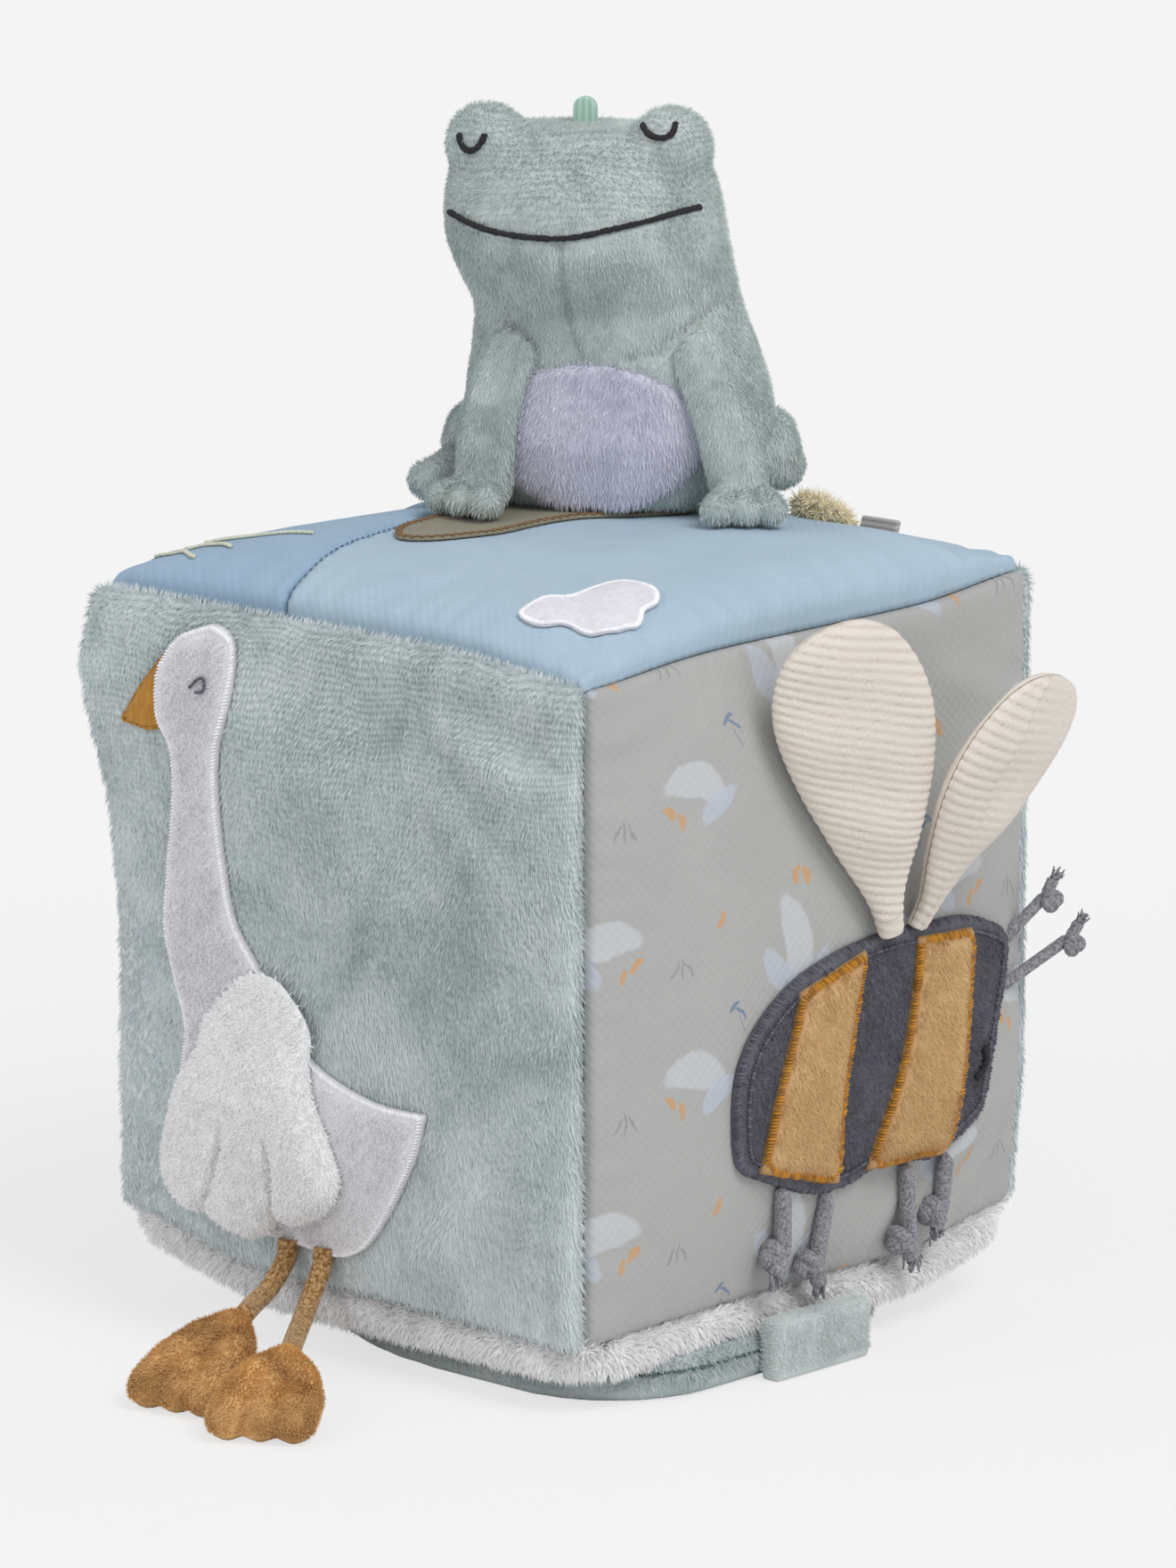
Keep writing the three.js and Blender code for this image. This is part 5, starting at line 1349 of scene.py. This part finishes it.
# The goose's feet: stuffed, of long ochre pile, three toes each.
foot_yarn = plush_material("foot_plush", dyed(238, 200, 142), dyed(150, 102, 52), 75.0, 0.65, 0.35, 0.4)
foot_bare = 1.9 * mm  # how high the sole has no pile, so that the foot lies on the table
for side, seed in (("left", 41), ("right", 42)):
    node = "goose_foot_" + side
    foot = stuffed_copy("goose_foot_plush_" + side, [node], 0.9, 4, 0.2)
    dress(foot, foot_yarn, "foot_plush", node, body="goose_leg_" + side, fill=0.7)
    leg, path = goose_legs[side]
    off_table = skin_of(foot)[0][:, 2] > foot_bare
    fluff_up(
        foot, node + "_pile", foot_yarn, "foot_plush", unit(path[-1] - path[-12]) * 0.9, off_table,
        body="goose_leg_" + side, density=6.5e6, length=1.0 * mm, width=0.28 * mm, swirl=1.4, swirl_scale=140.0,
        stray=0.25, uneven=0.3, seed=seed,
    )


# The padded base that the cube stands on: sage plush, with a dark green seam round its edge and the
# end of its strap folded up in front of the bee's face.
base_yarn = plush_material("base_plush", dyed(206, 213, 213), dyed(156, 170, 170), 60.0)
base = stuffed_copy("base_pad_plush", ["base_pad"], 1.5, 3)
at, out = skin_of(base)
dress(base, base_yarn, "sage_plush", "base_pad", fill=0.5)
pad_middle = np.array([10 * mm, 0])
pad_bare, pad_hidden = 3.4 * mm, 55 * mm  # no pile below this height, nor this near the middle, under the cube
off_middle = np.max(np.abs(at[:, :2] - pad_middle), 1)
seen_part = (out[:, 2] < 0.9) & (at[:, 2] > pad_bare) & (off_middle > pad_hidden)
fluff_up(
    base, "base_pad_pile", base_yarn, "sage_plush", (0, 0, -0.6), seen_part,
    density=2.8e6, length=1.5 * mm, width=0.34 * mm, swirl=1.6, swirl_scale=70.0, stray=0.3, uneven=0.3, seed=51,
)

rim_line, rim_out = round_oblong(68.1, 67.1, (30, 80, 30, 80), 10, 6.4)
sew(
    "base_seam", rim_line, rim_out, green_thread, "sage_plush", along=2.6, across=1.0, high=1.0, pitch=2.1, slant=0,
    seed=52, closed=True,
)

strap = stuffed_copy("strap_end_plush", ["strap_end"], 0.6, 2, 0.3)
strap_yarn = plush_material("strap_plush", dyed(224, 229, 228), dyed(178, 190, 188), 60.0)
dress(strap, strap_yarn, "sage_plush", "strap_end", fill=0.3)
strap_bare = 2.2 * mm
fluff_up(
    strap, "strap_end_pile", strap_yarn, "sage_plush", (0, 0.3, -0.4), skin_of(strap)[0][:, 2] > strap_bare,
    density=4.0e6, length=0.8 * mm, width=0.34 * mm, swirl=1.3, swirl_scale=90.0, stray=0.25, uneven=0.3, seed=53,
)


# What is sewn on the top: an olive lily pad with a brown zigzag edge, a white cloud, three stitched
# reeds and a tuft of beige terry. A folded grey ribbon is caught in the back seam.
def plain_cloth(name, light, dark, scale=700.0, depth=0.0003):
    made, tree, shader, place = new_material(name, 0.9, 0.2)
    uneven = uneven_at(tree, place, scale)
    tree.links.new(mixed(tree, uneven, dark, light), shader.inputs["Base Color"])
    rough_height(tree, shader, uneven, depth, 0.8)
    return made


lily_shares = [
    (0.48, 0), (0.67, 0.04), (0.75, 0.18), (0.73, 0.34), (0.77, 0.49), (0.93, 0.66), (1, 0.81), (0.88, 0.95),
    (0.52, 1), (0.17, 0.95), (0, 0.77), (0.04, 0.58), (0.19, 0.4), (0.23, 0.25), (0.29, 0.1),
]
lily_rim = through(boxed(lily_shares, 48, 92, -16, 9), 5, closed=True)
olive = plain_cloth("olive_cloth", dyed(152, 146, 126), dyed(122, 117, 98))
lily, *_ = lay_cloth("lily_pad_cloth", "top", lily_rim, 0.3, 0.7, 0.6, 0, 2.0)
dress(lily, olive, "olive_cloth", "lily_pad")
zigzag = evenly(inset(lily_rim, 1.0), 1.1 * mm, closed=True)
zigzag = zigzag + inward_of(zigzag) * (0.75 * mm * (-1.0) ** np.arange(len(zigzag)))[:, None]
sew_round(
    "lily_zigzag", "top", zigzag, 1.15, brown_thread, "olive_cloth", along=0.9, across=0.5, high=0.55, pitch=0.55,
    slant=0, seed=61,
)

cloud_shares = [
    (0, 0.03), (0.02, 0.26), (0.11, 0.56), (0.25, 0.91), (0.56, 1), (0.81, 0.87), (0.87, 0.68), (1, 0.54),
    (0.99, 0.35), (0.85, 0.2), (0.57, 0.13), (0.4, 0),
]
cloud_rim = through(boxed(cloud_shares, 21.5, 31.5, 54.8, -48), 5, closed=True)
cloud_cloth = plain_cloth("cloud_terry", dyed(240, 239, 242), dyed(212, 210, 220), 520.0, 0.0007)
cloud, *_ = lay_cloth("cloud_terry_patch", "top", cloud_rim, 0.3, 0.7, 0.6, 0.4, 1.2)
dress(cloud, cloud_cloth, "white_thread", "cloud_patch")
sew_round(
    "cloud_border", "top", inset(cloud_rim, 0.7), 0.95, white_thread, "white_thread", along=0.5, across=1.7, high=0.8,
    pitch=0.38, seed=62,
)

line = evenly(seam_line, 1 * mm)
line = line[np.abs(line[:, 1]) < cloth_reach(Y) - 2 * mm] + [1.3 * mm, 0]
at, out = on_cloth("top", line[:, 0], line[:, 1], 0.1 * mm)
sew(
    "pond_seam_thread", at, out, blue_thread, "blue_cotton", along=1.5, across=0.4, high=0.5, pitch=2.3, slant=0,
    seed=66,
)

reed_ends = (
    ((-0.83, -0.74), (-0.49, -0.63)), ((-0.83, -0.81), (-0.64, -0.83)), ((-0.9, -0.86), (-0.7, -0.91)),
)
for k, ends in enumerate(reed_ends):
    (x0, y0), (x1, y1) = np.array(ends) * top_half
    line = through([(x0, y0), ((x0 + x1) / 2, (y0 + y1) / 2 + 1.5 * mm), (x1, y1)], 12)
    at, out = on_cloth("top", line[:, 0], line[:, 1], 0.45 * mm)
    reed = sew(
        "reed_thread_%d" % (k + 1), at, out, cream_thread, "cream_thread", along=0.7, across=1.6, high=0.9,
        pitch=0.42, slant=38, seed=63 + k,
    )
    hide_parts("reed_%d" % (k + 1))

beige_yarn = plush_material("beige_terry", dyed(250, 240, 212), dyed(222, 204, 166), 120.0, 0.3, 0.3, 0.5)
tuft = stuffed_copy("terry_tuft_cloth", ["terry_tuft"], 0.8, 3)
dress(tuft, beige_yarn, "beige_terry", "terry_tuft")
fluff_up(
    tuft, "terry_tuft_loops", beige_yarn, "beige_terry", (0.6, 0, 0), density=5.0e6, length=2.4 * mm, width=0.5 * mm,
    swirl=2.4, swirl_scale=260.0, stray=0.9, uneven=0.4, seed=67,
)


def folded_ribbon(name, node, colour_light, colour_dark, slot, rib_shade_axis):
    """A ribbon's CAD form, softened, with the fine ribs of its weave."""
    piece = stuffed_copy(name, [node], 0.35, 5)
    made, tree, shader, place = new_material(name + "_weave", 0.6, 0.15)
    wave = add_node(
        tree, "ShaderNodeTexWave", {"Vector": place, "Scale": 240.0, "Distortion": 0.4}, bands_direction=rib_shade_axis,
    )
    tree.links.new(mixed(tree, wave.outputs["Fac"], colour_dark, colour_light), shader.inputs["Base Color"])
    rough_height(tree, shader, wave.outputs["Fac"], 0.0002, 0.6)
    dress(piece, made, slot, node)


folded_ribbon("ribbon_fold", "ribbon_tab", dyed(196, 192, 190), dyed(166, 162, 162), "grey_ribbon", "Z")


# The bee: dark grey velour with two stripes of tan velour laid on it. Both are sewn down with satin
# borders, violet grey round the bee and ochre round the stripes.
bee_wide, bee_tall, bee_across, bee_up = 94, 56, 14.1, -21.9
bee_shares = [
    (0.505, 1), (0.353, 0.971), (0.196, 0.889), (0.073, 0.749), (0.012, 0.588), (0, 0.38), (0.019, 0.196),
    (0.1, 0.116), (0.264, 0.011), (0.39, 0), (0.502, 0.037), (0.614, 0.029), (0.744, 0.025), (0.842, 0.086),
    (0.907, 0.159), (0.938, 0.314), (0.964, 0.49), (0.995, 0.702), (1, 0.847), (0.933, 0.93), (0.801, 0.993),
    (0.639, 1),
]
bee_rim = through(boxed(bee_shares, bee_wide, bee_tall, bee_across, bee_up), 5, closed=True)
stripe_shares = {
    "rear": [
        [(0.434, 0.96), (0.396, 0.711), (0.362, 0.4), (0.35, 0.03)], [(0.35, 0.03), (0.075, 0.16)],
        [(0.075, 0.16), (0.122, 0.45), (0.175, 0.7), (0.205, 0.85)], [(0.205, 0.85), (0.434, 0.96)],
    ],
    "front": [
        [(0.832, 0.94), (0.823, 0.626), (0.803, 0.339), (0.732, 0.045)], [(0.732, 0.045), (0.452, 0.05)],
        [(0.452, 0.05), (0.548, 0.412), (0.604, 0.758), (0.62, 0.96)], [(0.62, 0.96), (0.832, 0.94)],
    ],
}
stripe_rims = {
    place: np.vstack([through(boxed(run, bee_wide, bee_tall, bee_across, bee_up), 6)[:-1] for run in runs])
    for place, runs in stripe_shares.items()
}
bee_velour = plush_material("grey_velour", dyed(116, 116, 124), dyed(82, 82, 90), 90.0, 0.5, 0.5, 0.3)
# Painted shade darkens the tan stripes close to their raised ochre borders.
tan_velour = plush_material(
    "tan_velour", dyed(238, 210, 162), dyed(200, 164, 114), 90.0, 0.25, 0.4, 0.4, edge_shade=dyed(160, 104, 52),
)
bee_lift, bee_thick, stripe_thick = 0.3, 1.6, 1.4
bee, out, gap, flat, is_top = lay_cloth("bee_body_velour", "bee", bee_rim, bee_lift, bee_thick, 1.3, 0.5)
under_stripes = np.zeros(len(flat), bool)
for rim in stripe_rims.values():
    under_stripes |= inside_of(rim / mm, *flat.T)[0]
dress(bee, bee_velour, "grey_velour", "bee_body")
fluff_up(
    bee, "bee_body_pile", bee_velour, "grey_velour", (0, 0.35, -0.6), is_top & (gap > 1.8) & ~under_stripes, out,
    density=4.5e6, length=1.0 * mm, width=0.28 * mm, swirl=1.3, swirl_scale=90.0, stray=0.25, uneven=0.3, seed=71,
)
sew_round(
    "bee_border", "bee", inset(bee_rim, 1.0), 1.2, grey_thread, "grey_velour", along=0.75, across=2.4, high=1.9,
    pitch=0.8, slant=26, seed=72, uneven=0.2,
)
sew_round(
    "bee_inner_line", "bee", inset(bee_rim, 3.4), 2.5, grey_thread, "grey_velour", along=1.2, across=0.9, high=1.0,
    pitch=0.9, slant=10, seed=73,
)
for place, seed in (("rear", 74), ("front", 78)):
    rim = stripe_rims[place]
    stripe, out, gap, flat, is_top = lay_cloth(
        "bee_stripe_velour_" + place, "bee", rim, bee_lift + bee_thick + 0.35, stripe_thick, 1.3, 0.7,
    )
    dress(stripe, tan_velour, "tan_velour", "bee_stripe_" + place)
    fluff_up(
        stripe, "bee_stripe_pile_" + place, tan_velour, "tan_velour", (0, 0.3, -0.9), is_top & (gap > 3.1), out,
        density=6.5e6, length=1.2 * mm, width=0.28 * mm, swirl=0.7, swirl_scale=110.0, stray=0.25, uneven=0.3,
        seed=seed,
    )
    sew_round(
        "bee_stripe_border_" + place, "bee", inset(rim, 0.9), 3.3, ochre_thread, "ochre_thread", along=0.7,
        across=2.3, high=1.9, pitch=0.72, slant=22, seed=seed + 1, uneven=0.2,
    )

bee_eye = [(1102, 1176), (1104, 1186), (1102, 1196), (1098, 1204), (1093, 1209)]
sew_seen(
    "bee_eye", bee, through(bee_eye, 5), 0.9, black_thread, "grey_velour", along=0.9, across=2.6, high=1.4,
    pitch=0.45, slant=14, seed=81,
)


# The bee's wings: two stuffed petals. The front of each is cream corduroy with ribs across it, the
# back is smooth cream velour, and the two are sewn together round the edge. Each is sewn on at its root.
wing_profile = np.array([
    (0, 0.154, 0.444), (0.12, 0.24, 0.45), (0.3, 0.55, 0.8), (0.5, 0.85, 1), (0.68, 1, 1), (0.82, 0.94, 0.85),
    (0.93, 0.7, 0.6), (0.985, 0.36, 0.32), (1.0, 0.08, 0.1),
])
wing_long, wing_width, wing_thick = 81, 36, 9
wing_seats = {
    "left": dict(
        at=(83.2, 15.1, 95.2), share=1.0, along=(0.13, -0.38, 0.93), turn=26, bias=0.38, lean=-0.2, fold=None,
    ),
    "right": dict(
        at=(81.7, 25.6, 95.2), share=0.82, along=(0.45, 0.13, 0.88), turn=-3, bias=0.25, lean=0.15, fold=-0.42,
    ),
}
wing_pitch, wing_columns = 0.42 * mm, 40
rib_pitch = 2.5 * mm
rib_high = 0.45 * mm
wing_apart = 0.15 * mm  # each side's back from the plane between the two
rib_low = 0.75  # tone where the ribs fade out, without painted shade between them
fold_high, fold_deep = 0.5 * mm, 0.5 * mm
scallop_deep, dimple_deep = 0.35 * mm, 0.9 * mm
# The corduroy is painted darker between its ribs and lighter on their crests: painted shade and highlight.
corduroy, tree, shader, place = new_material("cream_corduroy", 0.95, 0.4, dyed(250, 244, 234))
rib_shade = marked(tree, "rib_shade")
uneven = uneven_at(tree, place, 1100.0)
tone = maths(tree, "MULTIPLY_ADD", uneven, 0.35, rib_shade, use_clamp=True)
tree.links.new(mixed(tree, tone, dyed(206, 193, 178), dyed(233, 225, 216)), shader.inputs["Base Color"])
rough_height(tree, shader, uneven, 0.0004, 0.8)
cream_velour = plush_material("cream_velour", dyed(236, 228, 217), dyed(214, 203, 188), 90.0, 0.35, 0.35, 0.3)


def petal_side(name, seat, front):
    """One side of a wing, closed along the plane where the two sides meet."""
    length = seat["share"] * wing_long * mm
    along = unit(seat["along"])
    yaw = math.radians(seat["turn"])
    wide = np.array([math.sin(yaw), math.cos(yaw), 0])
    wide = unit(wide - along * (wide @ along))
    thick = np.cross(along, wide)
    facing = 1.0 if thick @ [1, -1, 0] > 0 else -1.0
    facing = facing if front else -facing
    rows, columns = round(length / wing_pitch), wing_columns
    t = np.linspace(0, 1, rows)
    smooth_profile = through(wing_profile, 16)
    half_wide = np.interp(t, smooth_profile[:, 0], smooth_profile[:, 1]) * wing_width / 2 * mm
    half_thick = np.interp(t, smooth_profile[:, 0], smooth_profile[:, 2]) * wing_thick / 2 * mm
    s = np.sin(np.linspace(-1, 1, columns) * math.pi / 2)
    from_fold = s - seat["fold"] if seat["fold"] else None
    rib_share = np.ones(columns) if from_fold is None else np.clip(1 - from_fold * 0.9, 0.12, 1)
    along_rib = (t * length)[:, None] + half_wide[:, None] * s * seat["bias"]
    rib_wave = np.abs(np.cos(math.pi * along_rib / rib_pitch)) ** 0.6
    scallop = scallop_deep * (rib_wave - 0.5) if front else 0 * rib_wave
    x = (half_wide[:, None] + scallop) * s
    dome = np.sqrt(np.clip(1 - s**2, 0, 1)) ** 0.85
    fullness = half_thick[:, None] * dome
    ribs = rib_high * rib_wave * rib_share * np.clip(dome * 2.2, 0, 1) * (t > 0.06)[:, None] if front else 0
    if front and from_fold is not None:
        ribs = ribs + np.exp(-((from_fold / 0.11) ** 2)) * fold_high
        ribs = ribs - np.exp(-(((from_fold - 0.16) / 0.07) ** 2)) * fold_deep
    dimple = dimple_deep * ripple(5 if front else 6, x, (t * length)[:, None] + 0 * x, 24 * mm, 6) * dome
    top = np.maximum(fullness + ribs + dimple * 0.6, 0) + wing_apart
    bottom = np.full_like(top, wing_apart)
    slide = seat["lean"] * x * np.sin(math.pi * np.clip(t, 0, 1))[:, None] ** 0.7
    centre = np.array(seat["at"]) * mm

    def place(x, z):
        up = (t * length)[:, None] + slide
        return centre + up[..., None] * along + x[..., None] * wide + (facing * z)[..., None] * thick

    points = np.vstack([place(x, top).reshape(-1, 3), place(x, bottom).reshape(-1, 3)])
    quads = closed_sheet(rows, columns)
    if np.cross(wide, along) @ (thick * facing) < 0:
        quads = quads[:, ::-1]
    made = smooth(new_mesh(name, points, quads))
    # Painted shade between the ribs, lighter on their crests.
    set_attribute(made, "rib_shade", np.tile((rib_low + (rib_wave - rib_low) * rib_share).ravel() * 0.75, 2))
    return made


for side, seat in wing_seats.items():
    for front, cloth, slot in ((True, corduroy, "cream_corduroy"), (False, cream_velour, "cream_velour")):
        end = "front" if front else "back"
        node = "bee_wing_%s_%s" % (side, end)
        dress(petal_side(node + "_cloth", seat, front), cloth, slot, node, body="bee_wing_" + side, fill=0.5)


# The bee's legs and feelers: grey cords with a knot near the end and a frayed tail.
grey_cord = cord_material("grey_cord", dyed(164, 162, 167), dyed(112, 111, 117), 1500.0)
fray_strands = 30
fray_thin = 0.13  # a strand's radius as a share of the cord's
knot_gap = 0.42  # radians of its turn that the knot's loop is left open at each end


def knotted_cord(node, start, tuck, knot, end, diameter, knot_size, seed):
    """A short cord, its lengths in millimetres, from its root through an overhand knot to a frayed tail."""
    start, tuck, knot, end = (np.array(v, float) for v in (start, tuck, knot, end))
    fall = unit(end - start)
    sideways = unit(np.cross(fall, [0.64, -0.7, 0.2]))
    depth = np.cross(fall, sideways)
    radius = diameter / 2
    loop = (knot_size - diameter) / 6 * 1.25
    turns = np.linspace(math.pi + knot_gap, 3 * math.pi - knot_gap, 46)
    wind = np.stack(
        [np.sin(turns) + 2 * np.sin(2 * turns), np.cos(turns) - 2 * np.cos(2 * turns), -np.sin(3 * turns)], 1,
    )
    wind = wind * loop
    sign = 1 if wind[0, 0] < 0 else -1
    coil = knot + wind[:, :1] * sign * fall * 0.8 + (wind[:, 1:2] + 2 * loop) * sideways + wind[:, 2:] * depth * 1.3
    lead = [start + tuck, *(start + (coil[0] - start) * t for t in np.linspace(0, 0.8, 6))]
    tail = [coil[-1] + (end - coil[-1]) * t for t in np.linspace(0.25, 0.62, 3)]
    path = evenly(through(np.vstack([lead, coil, tail]), 3), 0.5)

    def twisted(way, turns):
        braid = 0.93 + 0.1 * np.abs(np.sin(2 * turns + way * 2.6)) * np.abs(np.sin(2 * turns - way * 2.6 + 0.7))
        return radius * braid * min(1.0, 0.6 + way * 0.16)

    parts = [tube_mesh(path, twisted, 14)]
    draw = np.random.RandomState(seed)
    for _ in range(fray_strands):
        root = path[-1] + draw.normal(0, radius * 0.38, 3)
        spray = unit(fall + draw.normal(0, 0.22, 3))
        bend = root + spray * draw.uniform(0.9, 1.5)
        tip = bend + unit(spray + draw.normal(0, 0.3, 3)) * draw.uniform(0.6, 1.7)
        strand = through([root - spray * 0.8, root, bend, tip], 3)
        parts.append(tube_mesh(strand, radius * fray_thin, 5))
    points, faces, count = [], [], 0
    for at, skin in parts:
        points.append(at * mm)
        faces += [tuple(v + count for v in f) for f in skin]
        count += len(at)
    made = smooth(new_mesh(node + "_cord", np.vstack(points), faces))
    set_attribute(made, "groove_shade", np.zeros(count))
    dress(made, grey_cord, "grey_cord", node, body=node)


bee_leg_roots = [(80.39, -17, 40.24), (79.81, -2.16, 36.49), (79.99, 24.77, 37.77), (79.67, 38.38, 37.93)]
bee_leg_ways = [
    ((-0.03, 1), (-0.6, 1)), ((-0.25, 1.05), (0.25, 1)), ((0.05, 1.15), (0.3, 1)), ((-0.15, 0.85), (-0.4, 0.8)),
]
leg_to_knot, tail_long = 13, 6
for k, (root, ((knot_y, knot_z), (tail_y, tail_z))) in enumerate(zip(bee_leg_roots, bee_leg_ways)):
    knot = np.array(root) + [0, knot_y * leg_to_knot, -knot_z * leg_to_knot]
    tail = knot + [0, tail_y * tail_long, -tail_z * tail_long]
    knotted_cord("bee_leg_%d" % (k + 1), root, (-1.2, 0, 2.0), knot, tail, 4.0, 7.8, 91 + k)

feeler_roots = {
    "upper": ((75.9, 63, 85.1), (0.35, 0.65, 0.68), (0.25, 0.35, 0.95)),
    "lower": ((76.4, 61.7, 74.4), (0.55, 1.1, 0.72), (0.3, 0.5, 0.85)),
}
for k, (place, (root, to_knot, to_tail)) in enumerate(feeler_roots.items()):
    knot = np.array(root) + np.array(to_knot) * leg_to_knot
    tail = knot + np.array(to_tail) * tail_long
    knotted_cord("bee_antenna_" + place, root, (-1.0, -2.0, 0), knot, tail, 2.8, 6.0, 96 + k)


# The frog: stuffed, of short sage plush with a lilac belly. Body and head are one skin with a seam
# at the neck; the arms and hind legs are sewn on. The eyes and the mouth are stitched in black.
# Painted light on the frog's right side and on top of its head.
frog_yarn = plush_material(
    "frog_plush", dyed(208, 216, 214), dyed(148, 162, 159), 70.0, 0.45, 0.35, 0.4, (0.236, 0.256, 0.3),
    painted_light_spots=(((0.042, 0.0, 0.22), 0.045, 1.0), ((-0.005, 0.0, 0.28), 0.03, 0.4)),
)
belly_yarn = plush_material("belly_plush", dyed(220, 219, 231), dyed(192, 193, 209), 70.0, 0.4, 0.35, 0.4)
frog = stuffed_copy("frog_body_plush", ["frog_body", "frog_head"], 1.3, 20, 1.1)
dress(frog, frog_yarn, "frog_plush", "frog_body", "frog_head", fill=0.9)

mouth = [
    (506, 238), (524, 248), (545, 257), (570, 263), (600, 267), (630, 268), (655, 265), (690, 257), (725, 249),
    (760, 239), (784, 233),
]
frog_eyes = {
    "left": [(517, 152), (519, 161), (525, 168), (533, 168), (540, 161), (544, 152)],
    "right": [(723, 142), (728, 150), (737, 155), (747, 155), (755, 150), (758, 140)],
}
creases = (
    [(628, 276), (630, 300), (634, 330), (640, 365), (652, 402)],
    [(742, 396), (752, 382), (768, 372), (790, 356), (812, 340), (826, 328)],
    [(736, 398), (722, 400), (706, 404)],
)
sewn_lines = [sew_seen(
    "frog_mouth", frog, through(mouth, 6), 0.5, black_thread, "frog_plush", along=0.8, across=1.7, high=1.2,
    pitch=0.55, slant=24, seed=101, uneven=0.16,
)]
for side, places in frog_eyes.items():
    sewn_lines.append(sew_seen(
        "frog_eye_" + side, frog, through(places, 5), 0.6, black_thread, "frog_plush", along=0.8, across=1.7,
        high=1.2, pitch=0.5, slant=14, seed=102, uneven=0.14,
    ))

belly = stuffed_copy("frog_belly_plush", ["frog_belly"], 0.8, 3, 0.5)
dress(belly, belly_yarn, "belly_plush", "frog_belly", fill=0.6)
fluff_up(
    belly, "frog_belly_pile", belly_yarn, "belly_plush", (0, 0, -1.1), density=3.0e6, length=1.4 * mm,
    width=0.32 * mm, swirl=1.3, swirl_scale=90.0, stray=0.3, uneven=0.3, seed=103,
)
at, out = skin_of(frog)
crease_wide, crease_deep = 1.3 * mm, 1.3 * mm
for crease in creases:
    found = seen_on(frog, through(crease, 6))
    line = evenly(found[:, :3], 0.6 * mm)
    off = np.min(np.linalg.norm(at[:, None] - line[None], axis=2), 1)
    at = at - out * (crease_deep * np.exp(-((off / crease_wide) ** 2)))[:, None]
frog.data.vertices.foreach_set("co", at.ravel())
frog.data.update()
line_clear = 1.3 * mm  # no pile this near to a stitched line
neck_up, neck_blend = 225 * mm, 20 * mm
clear = np.ones(len(at), bool)
for line in sewn_lines:
    for spot in evenly(line, 1.0 * mm):
        clear &= np.linalg.norm(at - spot, axis=1) > line_clear
head_share = np.clip((at[:, 2] - neck_up) / neck_blend, 0, 1)[:, None]
comb_way = np.array([0, 0, -1.3]) * (1 - head_share) + np.array([0.5, 0.4, -0.9]) * head_share
fluff_up(
    frog, "frog_body_pile", frog_yarn, "frog_plush", comb_way, clear, density=2.45e6, length=1.1 * mm, width=0.3 * mm,
    swirl=1.1, swirl_scale=60.0, stray=0.25, uneven=0.3, seed=104,
)
for part, seed in (("arm_left", 105), ("arm_right", 106), ("leg_left", 107), ("leg_right", 108)):
    node = "frog_" + part
    limb = stuffed_copy(node + "_plush", [node], 0.9, 5, 0.4)
    dress(limb, frog_yarn, "frog_plush", node, body=node, fill=0.8)
    fluff_up(
        limb, node + "_pile", frog_yarn, "frog_plush", (0.15, -0.3, -1.3), body=node, density=4.0e6, length=1.15 * mm,
        width=0.28 * mm, swirl=1.5, swirl_scale=80.0, stray=0.25, uneven=0.3, seed=seed,
    )
folded_ribbon("frog_loop_ribbon", "frog_loop", dyed(186, 214, 200), dyed(158, 194, 178), "mint_ribbon", "X")

bpy.context.scene.view_settings.view_transform = "Standard"
